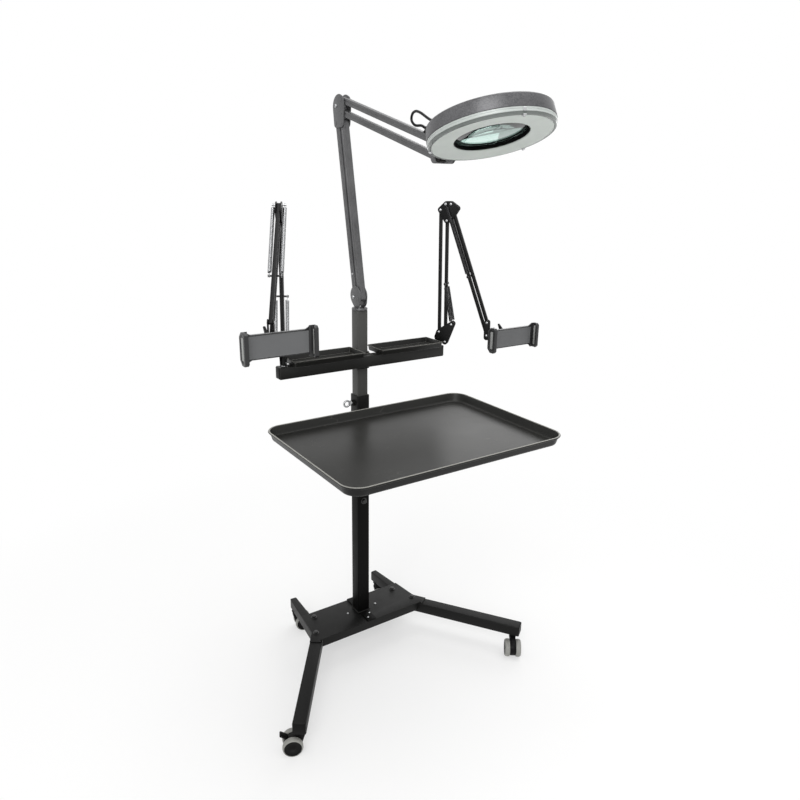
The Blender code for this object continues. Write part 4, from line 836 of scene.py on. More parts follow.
base = {"top": 0.078, "skin": 0.002, "front": -0.0535, "back": 0.0495, "legWidth": 0.027,
        "legHeight": 0.025, "bend": (0.1272, -0.0225), "frontTip": (0.2843, -0.2517),
        "rearTip": (0.1165, 0.1315), "rearWidth": 0.016, "castorInset": 0.016, "legCorner": 0.0022,
        "footTop": 0.0813, "bolt": (0.0052, 0.0036), "screw": (0.0026, 0.0017),
        "boltPlaces": ((-0.110, 0.031), (0.110, 0.031), (-0.133, -0.025), (0.133, -0.025)),
        "coverScrews": ((-0.0355, 0), (0.0402, 0)),
        "footScrews": ((0.0065, -0.0285), (-0.0050, -0.0420), (0.0050, 0.0360))}
legTop = base["top"] - base["skin"] - seatGap
legLow = legTop - base["legHeight"]
legBend, legFront, legRear = (Vector(base[key]) for key in ("bend", "frontTip", "rearTip"))
legAhead, legBack = (legFront - legBend).normalized(), (legRear - legBend).normalized()


def mirroredX(points, side):
    return points if side == "right" else [(-x, y) for x, y in points[::-1]]


def buildBase():
    frontOut, rearOut = Vector((-legAhead.y, legAhead.x)), Vector((legBack.y, -legBack.x))
    mitre = (frontOut + rearOut).normalized()
    half, rearHalf = base["legWidth"] / 2, base["rearWidth"] / 2
    corner = mitre * (half / mitre.dot(frontOut))
    outline = [tuple(p) for p in (legRear + rearOut * rearHalf, legRear - rearOut * rearHalf,
                                  legBend - corner, legFront - frontOut * half,
                                  legFront + frontOut * half, legBend + corner)]
    for side in sides:
        makePiece(f"{side}LegTube", [prism(mirroredX(outline, side), legLow, legTop, base["legCorner"])],
                  "stand", "base", [f"{side}_leg"], rootPlace)
        caps = []
        for tip, run, width in ((legFront, legAhead, half), (legRear, legBack, rearHalf)):
            x = tip.x if side == "right" else -tip.x
            heading = atan2(run.y, run.x if side == "right" else -run.x)
            plug = block((-0.004, -width + 0.0008, legLow + 0.0008),
                         (0.0012, width - 0.0008, legTop - 0.0008), 0.0009)
            caps.append(moved(plug, moveTo(x, tip.y, 0) @ Matrix.Rotation(heading, 4, "Z")))
        makePiece(f"{side}LegPlugs", caps, "nylon", "base", place=rootPlace)
    makePiece("coverPlate", [copyNode("base_plate", 0.0006)], "stand", "base", ["base_plate"])
    bolts = [hexBolt(*base["bolt"], moveTo(x, y, base["top"])) for x, y in base["boltPlaces"]]
    makePiece("coverBolts", sum(bolts, []), "blackBolt", "base", place=rootPlace)
    screws = [screwHead(*base["screw"], moveTo(x, y, z))
              for z, spots in ((base["top"], base["coverScrews"]), (base["footTop"], base["footScrews"]))
              for x, y in spots]
    makePiece("coverScrews", screws, "zinc", "base", place=rootPlace)


castor = {"radius": 0.020, "inner": 0.0070, "outer": 0.0185, "cap": 0.0172, "hub": 0.0130, "trail": 0.016,
          "web": 0.013, "webRadius": 0.0175, "headroom": 0.0035, "neck": 0.008, "stem": 0.004,
          "stemLength": 0.020, "axle": 0.0024,
          "yaws": {"front_left": 157, "front_right": -127, "rear_left": -13, "rear_right": -60}}
pedal = {"length": 0.012, "width": 0.012, "radius": 0.0022, "place": 52, "rise": 33,
         "grips": (0.45, 0.65, 0.85), "grip": 0.0006}


def castorPlaces():
    front, rear = legFront - legAhead * base["castorInset"], legRear - legBack * base["castorInset"]
    return {"front_left": (-front.x, front.y), "front_right": (front.x, front.y),
            "rear_left": (-rear.x, rear.y), "rear_right": (rear.x, rear.y)}


def wheelRing(sign, profile):
    return [(r, sign * y) for r, y in profile]


def buildCastors():
    rad, inner, outer, cap, hub = (castor[k] for k in ("radius", "inner", "outer", "cap", "hub"))
    axle = (castor["trail"], rad)
    crown = 2 * rad + castor["headroom"]
    tyre = [(hub, inner + 0.0006), (rad - 0.0016, inner), (rad - 0.0004, inner + 0.0008),
            (rad, inner + 0.0026), (rad, outer - 0.0046), (rad - 0.0005, outer - 0.0026),
            (rad - 0.0013, outer - 0.0011), (cap + 0.0004, outer - 0.0002), (cap - 0.0002, outer - 0.0005),
            (cap - 0.0003, outer - 0.0022), (hub, outer - 0.0022)]
    disc = [(0, outer - 0.0002), (0.0042, outer - 0.0002), (0.0050, outer - 0.0007),
            (0.0142, outer - 0.0009), (cap - 0.0016, outer - 0.0003), (cap - 0.0008, outer - 0.0004),
            (cap - 0.0004, outer - 0.0010), (cap - 0.0004, outer - 0.0021), (0, outer - 0.0021)]
    nave = [(0.0027, inner + 0.0004), (hub - 0.0002, inner + 0.0010), (hub - 0.0002, outer - 0.0023),
            (0.0027, outer - 0.0023)]
    for corner, (x, y) in castorPlaces().items():
        yaw = spun(castor["yaws"][corner], "Z")
        place = rootPlace @ moveTo(x, y, 0) @ yaw
        half = castor["web"] / 2
        web = plate([(axle, castor["webRadius"]), ((0, crown - castor["neck"] / 2), castor["neck"])],
                    -half, half, 0.0014, 56)
        neck = lathe([(0, crown - 0.004), (castor["neck"], crown - 0.004),
                      (castor["neck"], legLow - 0.0026), (0.0102, legLow - 0.0020),
                      (0.0102, legLow - 0.0006), (0.0096, legLow - seatGap), (0, legLow - seatGap)],
                     Matrix(), 48, False)
        makePiece(f"castorFork_{corner}", [web, neck], "nylon", f"castor_{corner}",
                  [f"castor_housing_{corner}"], place)
        stem = roundBar(castor["stem"], castor["stemLength"], moveTo(0, 0, legLow - 0.0006), 0.0006)
        makePiece(f"castorStem_{corner}", [stem], "zinc", f"castor_{corner}", place=place)
        at = facing("Y", (axle[0], 0, axle[1]))
        tyres = [lathe(wheelRing(sign, tyre), at, 64) for sign in (1, -1)]
        makePiece(f"castorTyres_{corner}", tyres, "tyre", f"wheels_{corner}", [f"castor_wheels_{corner}"],
                  place)
        hubs = [lathe(wheelRing(sign, disc), at, 64, False) for sign in (1, -1)]
        hubs += [lathe(wheelRing(sign, nave), at, 48) for sign in (1, -1)]
        hubs.append(roundBar(castor["axle"], 2 * outer - 0.006,
                             facing("Y", (axle[0], -outer + 0.003, axle[1]))))
        makePiece(f"castorHubs_{corner}", hubs, "nylon", f"wheels_{corner}", place=place)
        if corner == "front_left":
            pivot = alongFrom(axle, castor["webRadius"] + pedal["radius"] + seatGap, 90 - pedal["place"])
            way = 90 - pedal["rise"]
            toe = alongFrom(pivot, pedal["length"], way)
            wide = pedal["width"] / 2
            tread = [plate([(pivot, pedal["radius"]), (toe, pedal["radius"])], -wide, wide, 0.0006)]
            for share in pedal["grips"]:
                grip = alongFrom(alongFrom(pivot, pedal["length"] * share, way), pedal["radius"] * 0.95,
                                 way - 90)
                tread.append(plate([(grip, pedal["grip"])], -wide + 0.0012, wide - 0.0012, 0.0002, 12))
            makePiece("castorBrakePedal", tread, "nylon", "brake_pedal", ["brake_pedal"], place)


buildBase()
buildCastors()
print("base and castors dressed")


# column, work tray and its bracket

tubes = {"lower": 0.030, "lowerWall": 0.002, "lowerTop": 0.410, "upper": 0.025, "upperWall": 0.0015,
         "upperLow": 0.120, "footWidth": 0.022, "lockZ": 0.371,
         "lowerCorner": 0.0026, "upperCorner": 0.0021, "lockBolt": (0.0056, 0.0052), "weld": 0.0017}


def squareCorners(side, z):
    h = side / 2
    return [(-h, -h, z), (h, -h, z), (h, h, z), (-h, h, z)]


def buildColumn():
    foot = block((-tubes["footWidth"] / 2, base["front"], base["top"] + seatGap),
                 (tubes["footWidth"] / 2, base["back"], base["footTop"]), 0.0008)
    shaft = squareTube(tubes["lower"], tubes["lowerWall"], base["footTop"] - 0.0006, tubes["lowerTop"],
                       tubes["lowerCorner"])
    makePiece("lowerSquareTube", [shaft, foot], "shaft", "base", ["lower_tube"], rootPlace)
    makePiece("footWeld",
              [weldBead(squareCorners(tubes["lower"] + 0.0006, base["footTop"] + 0.0002), tubes["weld"])],
              "stand", "base", place=rootPlace)
    makePiece("heightLockBolt",
              hexBolt(*tubes["lockBolt"], facing("-Y", (0, -tubes["lower"] / 2, tubes["lockZ"]))),
              "blackBolt", "base", place=rootPlace)
    mast = squareTube(tubes["upper"], tubes["upperWall"], tubes["upperLow"], lamp["columnTop"],
                      tubes["upperCorner"])
    makePiece("upperSquareTube", [mast], "mast", "upper_column", ["upper_tube"], rootPlace)


workTray = {"width": 0.485, "depth": 0.345, "corner": 0.036, "cornerSteps": 14, "rimZ": 0.599,
            "backY": -0.036, "sheet": 0.0012,
            "section": ((0.0, -0.0022), (0.0003, -0.0012), (0.0010, -0.0004), (0.0022, 0.0),
                        (0.0034, -0.0004), (0.0042, -0.0014), (0.0048, -0.0032), (0.0078, -0.0142),
                        (0.0084, -0.0162), (0.0096, -0.0177), (0.0122, -0.0186)),
            "hem": ((0.0001, -0.0016), (0.0008, -0.0012), (0.0018, -0.0003))}


def pressedSheet(width, depth, corner, cornerSteps, section, hem):
    # an outline whose face is pressed inwards step by step, and a hem turned under its edge
    shape = bmesh.new()
    bmesh.ops.create_grid(shape, x_segments=1, y_segments=1, size=0.5,
                          matrix=Matrix.Diagonal((width, depth, 1, 1)))
    bmesh.ops.bevel(shape, geom=shape.verts[:], offset=corner, offset_type="OFFSET", segments=cornerSteps,
                    profile=0.5, affect="VERTICES", clamp_overlap=True, material=-1)
    shape.normal_update()
    floor = shape.faces[:]
    if floor[0].normal.z < 0:
        bmesh.ops.reverse_faces(shape, faces=floor)
    bmesh.ops.translate(shape, vec=(0, 0, section[0][1]), verts=shape.verts[:])
    rim = shape.edges[:]
    sinkFaces(shape, floor, [(b - a, zb - za) for (a, za), (b, zb) in zip(section, section[1:])])
    for inwards, drop in hem:
        grown = bmesh.ops.extrude_edge_only(shape, edges=rim)
        verts = [g for g in grown["geom"] if isinstance(g, bmesh.types.BMVert)]
        rim = [g for g in grown["geom"] if isinstance(g, bmesh.types.BMEdge)]
        bmesh.ops.scale(shape, vec=(1 - 2 * inwards / width, 1 - 2 * inwards / depth, 1), verts=verts)
        bmesh.ops.translate(shape, vec=(0, 0, drop), verts=verts)
    bmesh.ops.recalc_face_normals(shape, faces=shape.faces[:])
    return shape


def thicken(piece, sheet):
    # the floor is shaded flat, so that its rounded border doesn't tilt its shine
    max(piece.data.polygons, key=lambda face: face.area).use_smooth = False
    step = piece.modifiers.new("Sheet", "SOLIDIFY")
    step.thickness = sheet
    step.offset = -1
    step.use_even_offset = True


bracket = {"sleeve": 0.0306, "wall": 0.0025, "low": 0.5607, "top": 0.620, "boomTop": 0.5757,
           "flatTop": 0.5787, "boom": 0.025, "flatHalf": 0.0125, "flatLength": 0.200, "backFlat": -0.116,
           "frontFlat": -0.301, "clampZ": 0.603, "bossEnd": -0.0213, "boomEnd": -0.0134, "corner": 0.0030,
           "weld": 0.0015, "seatBolt": (0.0038, 0.0026), "seatBoltX": 0.085, "collar": 0.005,
           "eyeDrop": 0.0067, "eye": (0.0065, 0.0021), "threadTurns": 16, "threadPitch": 0.0008,
           "threadCrest": 0.0030, "threadRoot": 0.0026,
           "boss": ((0.0034, 0), (0.0070, 0), (0.0070, 0.0052), (0.0063, 0.0060), (0.0034, 0.0060)),
           "collarProfile": ((0, 0), (0.0052, 0), (0.0060, 0.0008), (0.0060, 0.0042), (0.0052, 0.005),
                             (0, 0.005))}


def buildWorkTray():
    middleY = workTray["backY"] - workTray["depth"] / 2
    sheet = pressedSheet(workTray["width"], workTray["depth"], workTray["corner"], workTray["cornerSteps"],
                         workTray["section"], workTray["hem"])
    tray = makePiece("pressedTray", [sheet], "tray", "work_tray", ["tray"],
                     rootPlace @ moveTo(0, middleY, workTray["rimZ"]), 60)
    thicken(tray, workTray["sheet"])

    b = bracket
    boom = block((-b["boom"] / 2, b["frontFlat"] - b["flatHalf"], b["low"]),
                 (b["boom"] / 2, b["boomEnd"], b["boomTop"]), 0.0014, 3)
    flats = [block((-b["flatLength"] / 2, y - b["flatHalf"], b["boomTop"] - 0.0006),
                   (b["flatLength"] / 2, y + b["flatHalf"], b["flatTop"]), 0.0007)
             for y in (b["backFlat"], b["frontFlat"])]
    boss = lathe(b["boss"], facing("-X", (-b["sleeve"] / 2, 0, b["clampZ"])), 40)
    makePiece("trayBracket", [squareTube(b["sleeve"], b["wall"], b["low"], b["top"], b["corner"]), boom,
                              *flats, boss], "stand", "work_tray", ["tray_bracket"], rootPlace)
    half = b["sleeve"] / 2
    run = [(-b["boom"] / 2, -half, b["low"] + 0.001), (b["boom"] / 2, -half, b["low"] + 0.001),
           (b["boom"] / 2, -half, b["boomTop"]), (-b["boom"] / 2, -half, b["boomTop"])]
    makePiece("boomWeld", [weldBead(run, b["weld"])], "stand", "work_tray", place=rootPlace)
    screws = [hexBolt(*b["seatBolt"], facing("-Z", (x, y, b["boomTop"] - 0.0006)))
              for y in (b["backFlat"], b["frontFlat"]) for x in (-b["seatBoltX"], b["seatBoltX"])]
    makePiece("traySeatBolts", sum(screws, []), "zinc", "work_tray", place=rootPlace)

    collar = b["bossEnd"] - seatGap - b["collar"]
    eye = collar - b["eyeDrop"]
    pitch = b["threadPitch"]
    thread = [(0, 0)]
    for k in range(b["threadTurns"]):
        thread += [(b["threadCrest"], pitch / 2 + k * pitch), (b["threadRoot"], pitch + k * pitch)]
    thread.append((0, thread[-1][1]))
    screw = [lathe(thread, facing("X", (collar + 0.0006, 0, b["clampZ"])), 32, False),
             lathe(b["collarProfile"], facing("X", (collar, 0, b["clampZ"])), 40, False),
             ring(*b["eye"], moveTo(eye, 0, b["clampZ"]))]
    makePiece("trayEyeScrew", screw, "zinc", "tray_clamp", ["tray_clamp_screw"], rootPlace)


# crossbar and small trays

crossbar = {"half": 0.199, "front": -0.0334, "back": -0.0134, "low": 0.6875, "top": 0.7125,
            "sleeveLow": 0.680, "sleeveTop": 0.7165, "wall": 0.0025, "sleeve": 0.0306, "pinY": -0.0234,
            "corner": 0.0030, "weld": 0.0015, "plugIn": 0.003, "plugOut": 0.001}
smallTray = {"width": 0.160, "depth": 0.066, "height": 0.0125, "corner": 0.005, "y": -0.023,
             "sheet": 0.0011, "cornerSteps": 5, "screw": (0.0030, 0.0018), "screwX": 0.045,
             "hem": ((0.0002, -0.0016), (0.0012, -0.0012)), "x": {"left": -0.0975, "right": 0.1020},
             "section": ((0.0, 0.0), (0.0006, 0.0003), (0.0016, 0.0), (0.0022, -0.0012), (0.0036, -0.0096),
                         (0.0041, -0.0108), (0.0047, -0.0114))}


def buildCrossbar():
    c = crossbar
    bar = block((-c["half"], c["front"], c["low"]), (c["half"], c["back"], c["top"]), 0.0018, 4)
    sleeve = squareTube(c["sleeve"], c["wall"], c["sleeveLow"], c["sleeveTop"], c["corner"])
    makePiece("crossTube", [bar, sleeve], "smallTray", "upper_column", ["crossbar"], rootPlace)
    plugs = []
    for sign in (-1, 1):
        x = sorted((sign * (c["half"] - c["plugIn"]), sign * (c["half"] + c["plugOut"])))
        plugs.append(block((x[0], c["front"] + 0.001, c["low"] + 0.001),
                           (x[1], c["back"] - 0.001, c["top"] - 0.001), 0.001))
    makePiece("crossTubePlugs", plugs, "nylon", "upper_column", place=rootPlace)
    h = c["sleeve"] / 2
    weld = weldBead([(-h, -h, c["low"]), (-h, -h, c["top"]), (h, -h, c["top"]), (h, -h, c["low"])],
                    c["weld"])
    makePiece("crossTubeWeld", [weld], "smallTray", "upper_column", place=rootPlace)
    for side in sides:
        middle = moveTo(smallTray["x"][side], smallTray["y"], c["top"] + seatGap + smallTray["height"])
        sheet = pressedSheet(smallTray["width"], smallTray["depth"], smallTray["corner"],
                             smallTray["cornerSteps"], smallTray["section"], smallTray["hem"])
        tray = makePiece(f"{side}FoldedTray", [sheet], "smallTray", "upper_column", [f"{side}_small_tray"],
                         rootPlace @ middle, 50)
        thicken(tray, smallTray["sheet"])
        screws = [screwHead(*smallTray["screw"],
                            moveTo(smallTray["x"][side] + x, c["pinY"], c["top"] + 0.0012))
                  for x in (-smallTray["screwX"], smallTray["screwX"])]
        makePiece(f"{side}FoldedTrayScrews", screws, "blackBolt", "upper_column", place=rootPlace)


buildColumn()
buildWorkTray()
buildCrossbar()
print("column, trays and crossbar dressed")


# tablet arms and holders: places are (forward, up) from the swivel pin

arm = {"rise": 0.004, "pin": 0.0045, "nut": 0.006, "nutHeight": 0.0132, "length": 0.2625, "bar": 0.007,
       "plate": 0.002, "round": 0.006, "rivet": 0.002, "front": (0.003, 0.027), "rear": (0.0175, 0.005),
       "ear": (0.0324, 0.0464), "elbowTop": (0.022, 0.012), "elbowUnder": (0.0225, -0.016),
       "elbowSpring": (0.0125, 0.012), "elbowNose": (0.0348, 0.0034), "springPin": 0.0018,
       "springReach": 0.0135, "springAlong": 0.129, "springSide": 0.0109, "post": 0.029,
       "postRadius": 0.004, "shelf": 0.006, "knuckle": 0.007, "knuckleHeight": 0.018, "knuckleReach": 0.022,
       "tongue": 0.008, "rivetHead": (0.0027, 0.0010), "washer": (0.0082, 0.0012), "collar": 0.0050,
       "pinDrop": 0.025, "cap": (0.0050, 0.0022),
       "poses": {"left": {"x": -0.1850, "heading": -120, "lean": -7, "hang": 46, "pan": 30},
                 "right": {"x": 0.1895, "heading": -52, "lean": -1, "hang": 20, "pan": -38}}}
coil = {"radius": 0.0030, "wire": 0.0013, "tail": 0.0075, "perTurn": 14, "pitch": 1.06}
holder = {"setback": 0.010, "span": 0.104, "thick": 0.008, "height": 0.039, "ear": 0.003,
          "jawWidth": 0.0105, "jawDepth": 0.022, "jawHeight": 0.053, "chamfer": 0.008, "lip": 0.003,
          "wall": 0.004, "tongue": (0.068, 0.0026, 0.0254), "ribs": (-0.040, -0.028, 0.028, 0.040),
          "pinCap": (0.0036, 0.0016), "leverSpan": (0.0044, 0.0004),
          "lever": (((0, 0), 0.0048), ((-0.007, 0.0145), 0.0026), ((-0.0165, 0.0225), 0.0020))}


def coilSpring(fixed, moving, side):
    # close-wound tension spring with a hook round each pin
    du, dz = moving[0] - fixed[0], moving[1] - fixed[1]
    length = hypot(du, dz)
    low, high = coil["tail"], length - coil["tail"]
    turns = int((high - low) / (coil["wire"] * coil["pitch"]))
    steps = turns * coil["perTurn"]
    wire = bmesh.new()
    made = bmesh.ops.create_circle(wire, cap_ends=False, segments=8, radius=coil["wire"] / 2,
                                   matrix=facing("Y", (coil["radius"], 0, low)))
    edges = list({e for v in made["verts"] for e in v.link_edges})
    bmesh.ops.spin(wire, geom=made["verts"] + edges, cent=(0, 0, 0), axis=(0, 0, 1),
                   dvec=(0, 0, (high - low) / steps), angle=2 * pi * turns, steps=steps, use_merge=False)
    bmesh.ops.holes_fill(wire, edges=[e for e in wire.edges if e.is_boundary], sides=0)
    hook = arm["springPin"] + coil["wire"] / 2 + 0.0002
    shapes = [wire]
    for at, start, up in ((0, 100, 1), (length, -80, -1)):
        loop = ring(hook, coil["wire"] / 2, moveTo(0, 0, at) @ spun(-start, "Y"), 290, 24)
        stem = roundBar(coil["wire"] / 2, coil["tail"] - hook + 0.0012, Matrix(), 0.0001, 10)
        turn = Matrix() if up > 0 else Matrix.Rotation(pi, 4, "X")
        shapes += [loop, moved(stem, moveTo(0, 0, at) @ turn @ moveTo(0, 0, hook))]
    place = moveTo(fixed[0], side, fixed[1]) @ Matrix.Rotation(atan2(du, dz), 4, "Y")
    return [moved(shape, place) for shape in shapes]


def cutCorner(shape, point, normal):
    made = bmesh.ops.bisect_plane(shape, geom=shape.verts[:] + shape.edges[:] + shape.faces[:], dist=1e-6,
                                  plane_co=point, plane_no=normal, clear_outer=True, clear_inner=False)
    cut = [g for g in made["geom_cut"] if isinstance(g, bmesh.types.BMEdge)]
    bmesh.ops.edgeloop_fill(shape, edges=cut)


def jawHook(sign, start):
    # hooked end wall with cut corners and a sunk strip on its outer face
    h = holder
    back, front = h["setback"], h["setback"] + h["jawDepth"]
    far, wall, lip, thick = h["jawWidth"], h["wall"], h["lip"], h["thick"]
    plan = [(back, 0), (back, far), (front, far), (front, far - wall - lip),
            (front - wall, far - wall - lip), (front - wall, far - wall), (back + thick, far - wall),
            (back + thick, 0)]
    shape = prism([(x, sign * (start + y)) for x, y in plan], -h["jawHeight"] / 2, h["jawHeight"] / 2, 0)
    top, cut = h["jawHeight"] / 2, h["chamfer"]
    for up in (1, -1):
        cutCorner(shape, (front, 0, up * (top - cut / 2)), (1, 0, up))
        cutCorner(shape, (back, 0, up * (top - cut)), (-1, 0, up))
    bmesh.ops.recalc_face_normals(shape, faces=shape.faces[:])
    shape.normal_update()
    outside = max((f for f in shape.faces if f.normal.y * sign > 0.9),
                  key=lambda f: f.calc_center_median().y * sign)
    sinkFaces(shape, [outside], ((0.0040, 0), (0.0004, -0.0010)))
    return softenEdges(shape, 0.0006, least=30)


def jawPads(sign, start):
    h = holder
    back, front, far = h["setback"], h["setback"] + h["jawDepth"], start + h["jawWidth"]
    inside = start + h["jawWidth"] - h["wall"]
    strips = []
    for low, high, y0, y1, tall in (
            (back + 0.0078, front - 0.0070, far - 0.0012, far - 0.0003, 0.0180),
            (back + h["thick"] + 0.0030, front - h["wall"] - 0.0020,
             inside - 0.0010, inside + 0.0003, 0.0205)):
        y = sorted((sign * y0, sign * y1))
        strips.append(block((low, y[0], -tall), (high, y[1], tall), 0.0004))
    return strips


def jawWebs(sign, start):
    # small webs where the plate's edges widen into the jaw
    h = holder
    face = h["setback"] + h["thick"]
    tall, top = h["height"] / 2 + seatGap, h["jawHeight"] / 2 - 0.0030
    webs = []
    for up in (1, -1):
        plan = [(start + 0.0004, up * tall), (start + 0.0004, up * top), (start - 0.0062, up * tall)]
        web = prism([(sign * y, z) for y, z in plan], face - 0.0030, face - 0.0002, 0)
        webs.append(moved(web, Matrix(((0, 0, 1, 0), (1, 0, 0, 0), (0, 1, 0, 0), (0, 0, 0, 1)))))
    return webs


def stubPins(point, start):
    # turned pins with heads that keep the springs' hooks on
    long = arm["springReach"] - start
    profile = [(0, 0), (arm["springPin"], 0), (arm["springPin"], long - 0.0012), (0.0026, long - 0.0011),
               (0.0026, long - 0.0003), (0.0022, long), (0, long)]
    return [lathe(profile, facing(axis, (point[0], y, point[1])), 24, False)
            for axis, y in (("Y", start), ("-Y", -start))]


def buildArm(side):
    pose = arm["poses"][side]
    place = (rootPlace @ moveTo(pose["x"], crossbar["pinY"], crossbar["top"] + arm["rise"])
             @ spun(pose["heading"], "Z"))
    inner = arm["bar"] / 2 + seatGap
    outer = inner + arm["plate"]
    lean, hang = pose["lean"], 180 - pose["hang"]
    front, rear, ear = arm["front"], arm["rear"], arm["ear"]
    elbowA, elbowB = alongFrom(front, arm["length"], lean), alongFrom(rear, arm["length"], lean)
    top, under, springTop, nose = (shifted(elbowA, arm[k])
                                   for k in ("elbowTop", "elbowUnder", "elbowSpring", "elbowNose"))
    lowerPin, upperPin = (alongFrom(rear, arm["springAlong"], lean),
                          alongFrom(under, arm["springAlong"], hang))
    noseTop, noseUnder = alongFrom(top, arm["length"], hang), alongFrom(under, arm["length"], hang)

    seat = seatGap - arm["rise"]
    neck = seat + arm["nutHeight"]
    cheek = [(front, arm["round"]), (rear, arm["round"]), (ear, arm["round"]),
             ((-0.001, neck + arm["round"]), arm["round"])]
    yoke = block((-arm["nut"], -outer, neck - 0.0006), (arm["nut"], outer, neck + arm["plate"] * 3), 0.0008)
    makePiece(f"{side}ArmBaseFork", cheekPair(cheek, inner, arm["plate"]) + [yoke], "arm",
              f"{side}_arm_base", [f"{side}_arm_base"], place)
    nut = roundBar(arm["nut"], arm["nutHeight"] * 0.55, moveTo(0, 0, seat + arm["washer"][1]), 0.0006, 6)
    washer = roundBar(*arm["washer"], moveTo(0, 0, seat), 0.0003)
    collar = roundBar(arm["collar"], arm["nutHeight"], moveTo(0, 0, seat), 0.0003)
    pin = roundBar(arm["pin"], crossbar["top"] - crossbar["low"] + 0.0002,
                   moveTo(0, 0, -arm["rise"] - arm["pinDrop"]), 0.0006)
    makePiece(f"{side}ArmSwivelNut", [nut, washer, collar, pin], "zinc", f"{side}_arm_base", place=place)
    makePiece(f"{side}ArmBaseRivets", bothSides(rivetHead, (front, rear), arm["rivetHead"], outer)
              + stubPins(ear, inner + 0.0006), "zinc", f"{side}_arm_base", place=place)

    for label, start, end, body in (("LowerFront", front, elbowA, "lower_front"),
                                    ("LowerRear", rear, elbowB, "lower_rear"),
                                    ("UpperTop", top, noseTop, "upper_top"),
                                    ("UpperUnder", under, noseUnder, "upper_under")):
        bar = plate([(start, arm["bar"] / 2), (end, arm["bar"] / 2)], -arm["bar"] / 2, arm["bar"] / 2,
                    0.0009)
        makePiece(f"{side}{label}Rod", [bar], "arm", f"{side}_{body}", [f"{side}_{body}_bar"], place)
    for label, point, body in (("Lower", lowerPin, "lower_rear"), ("Upper", upperPin, "upper_under")):
        makePiece(f"{side}{label}SpringPins", stubPins(point, arm["bar"] / 2 - 0.0006), "blackBolt",
                  f"{side}_{body}", place=place)

    cheek = [(p, arm["round"]) for p in (elbowA, elbowB, top, under, springTop, nose)]
    makePiece(f"{side}ArmElbowPlates", cheekPair(cheek, inner, arm["plate"]), "arm", f"{side}_elbow",
              [f"{side}_arm_elbow"], place)
    makePiece(f"{side}ArmElbowRivets",
              bothSides(rivetHead, (elbowA, elbowB, top, under), arm["rivetHead"], outer)
              + stubPins(springTop, inner + 0.0006), "zinc", f"{side}_elbow", place=place)

    for sign, label in ((-1, "inner"), (1, "outer")):
        for kind, fixed, moving in (("lower", ear, lowerPin), ("upper", springTop, upperPin)):
            makePiece(f"{side}_{kind}_{label}_coil", coilSpring(fixed, moving, sign * arm["springSide"]),
                      f"{side}Spring", f"{side}_{kind}_springs",
                      [f"{side}_{kind}_{label}_spring"], place, 70)
    buildArmNose(side, place, noseTop, noseUnder, inner, outer)


def buildArmNose(side, place, noseTop, noseUnder, inner, outer):
    drop = noseUnder[1] - noseTop[1]
    shelfTop = noseTop[1] + drop - arm["bar"] / 2 - 2 * seatGap
    shelfLow = shelfTop - arm["shelf"]
    cheek = [(noseTop, arm["round"]), (noseUnder, arm["round"]),
             ((noseUnder[0], shelfLow + arm["round"]), arm["round"])]
    shelf = block((noseTop[0] + arm["round"] / 3, -outer, shelfLow),
                  (noseTop[0] + arm["post"] + arm["knuckle"], outer, shelfTop), 0.0012, 3)
    makePiece(f"{side}ArmNosePlates", cheekPair(cheek, inner, arm["plate"]) + [shelf], "arm",
              f"{side}_arm_head", [f"{side}_arm_head_bracket"], place)
    tall = arm["knuckleHeight"]
    post = roundBar(arm["postRadius"], tall + 0.004, moveTo(noseTop[0] + arm["post"], 0, shelfLow + 0.003),
                    0.0006)
    cap = screwHead(*arm["cap"], moveTo(noseTop[0] + arm["post"], 0, shelfTop + tall + 2 * seatGap))
    makePiece(f"{side}ArmNoseRivets", bothSides(rivetHead, (noseTop, noseUnder), arm["rivetHead"], outer)
              + [post, cap], "zinc", f"{side}_arm_head", place=place)

    pan = (place @ moveTo(noseTop[0] + arm["post"], 0, shelfTop + seatGap)
           @ spun(arm["poses"][side]["pan"], "Z"))
    mid = tall / 2
    r = arm["knuckle"]
    barrel = lathe([(arm["postRadius"] + 0.0003, 0), (r - 0.0006, 0), (r, 0.0006), (r, tall - 0.0006),
                    (r - 0.0006, tall), (arm["postRadius"] + 0.0003, tall)], Matrix(), 48)
    half = arm["tongue"] / 2
    neck = plate([((r * 0.7, mid), mid * 0.7), ((arm["knuckleReach"], mid), 0.005)], -half, half, 0.0006)
    makePiece(f"{side}HolderKnuckle", [barrel, neck], "jaw", f"{side}_knuckle", [f"{side}_holder_knuckle"],
              pan)
    buildHolder(side, pan @ moveTo(arm["knuckleReach"], 0, mid), half + seatGap)


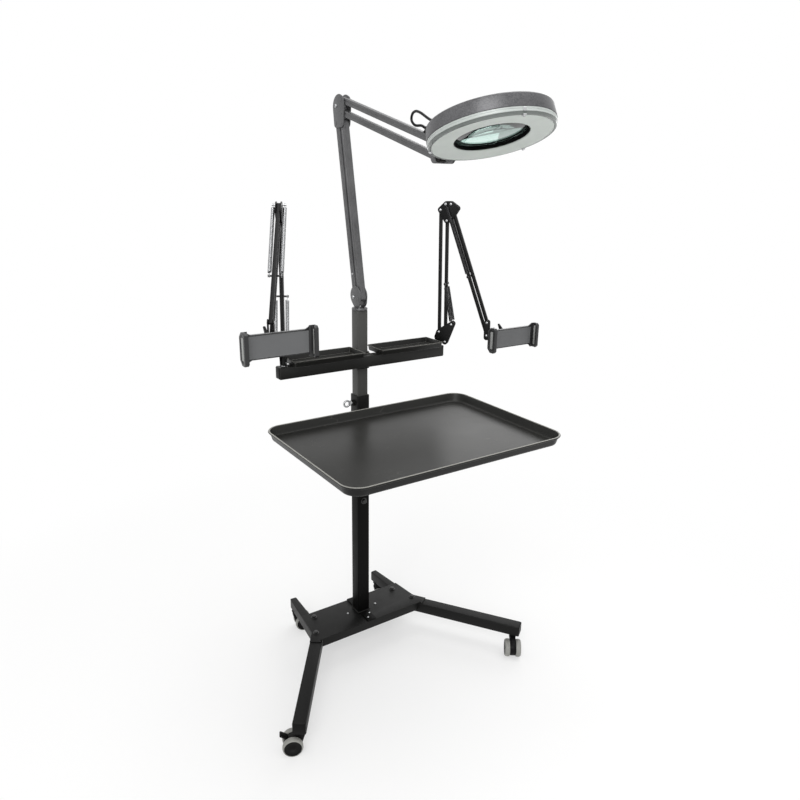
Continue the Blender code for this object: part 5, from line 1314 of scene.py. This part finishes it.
def buildHolder(side, pan, earInner):
    h = holder
    half, back, thick, tall = h["span"] / 2, h["setback"], h["thick"], h["height"] / 2
    panel = block((back, -half - 0.0006, -tall), (back + thick, half, tall), 0)
    panel.normal_update()
    face = [f for f in panel.faces if f.normal.x > 0.9]
    sinkFaces(panel, face, ((0.0016, 0), (0.0005, -0.0007)))
    softenEdges(panel, 0.0004)
    ears = cheekPair([((0, 0), 0.005), ((back + 0.0006, 0.007), 0.001), ((back + 0.0006, -0.007), 0.001)],
                     earInner, h["ear"])
    ribs = [block((back - 0.0012, y - 0.0009, -tall + 0.004), (back + 0.0008, y + 0.0009, tall - 0.004),
                  0.0004) for y in h["ribs"]]
    makePiece(f"{side}TabletPlate", [panel, *ears, *ribs], "holder", f"{side}_holder",
              [f"{side}_tablet_holder"], pan)
    trims = [block((back + thick - 0.0010, -half, z - 0.0009), (back + thick + 0.0003, half, z + 0.0009),
                   0.0002) for z in (-tall + 0.0005, tall - 0.0005)]
    makePiece(f"{side}FixedJaw", [jawHook(-1, half), *jawWebs(-1, half), *trims], "jaw", f"{side}_holder",
              place=pan)
    makePiece(f"{side}FixedJawPads", jawPads(-1, half), "pad", f"{side}_holder", place=pan)
    start = half + seatGap
    long, thin, high = h["tongue"]
    mid = back + thick / 2
    tongue = block((mid - thin / 2, start - long, -high / 2), (mid + thin / 2, start + 0.0006, high / 2),
                   0.0004)
    makePiece(f"{side}SlidingJawHook", [jawHook(1, start), *jawWebs(1, start), tongue], "jaw",
              f"{side}_jaw", [f"{side}_sliding_jaw"], pan)
    makePiece(f"{side}SlidingJawPads", jawPads(1, start), "pad", f"{side}_jaw", place=pan)
    reach = earInner + h["ear"]
    pin = roundBar(arm["rivet"], 2 * reach + 0.003, facing("Y", (0, -reach - 0.0015, 0)), 0.0003)
    lever = plate(h["lever"], *(-reach - gap for gap in h["leverSpan"]), 0.0010)
    makePiece(f"{side}TiltLever", [lever], "nylon", f"{side}_holder", place=pan)
    makePiece(f"{side}TiltPin", [pin, rivetHead(*h["pinCap"], facing("Y", (0, reach, 0)))], "zinc",
              f"{side}_holder", place=pan)


for side in sides:
    buildArm(side)
print("tablet arms dressed")
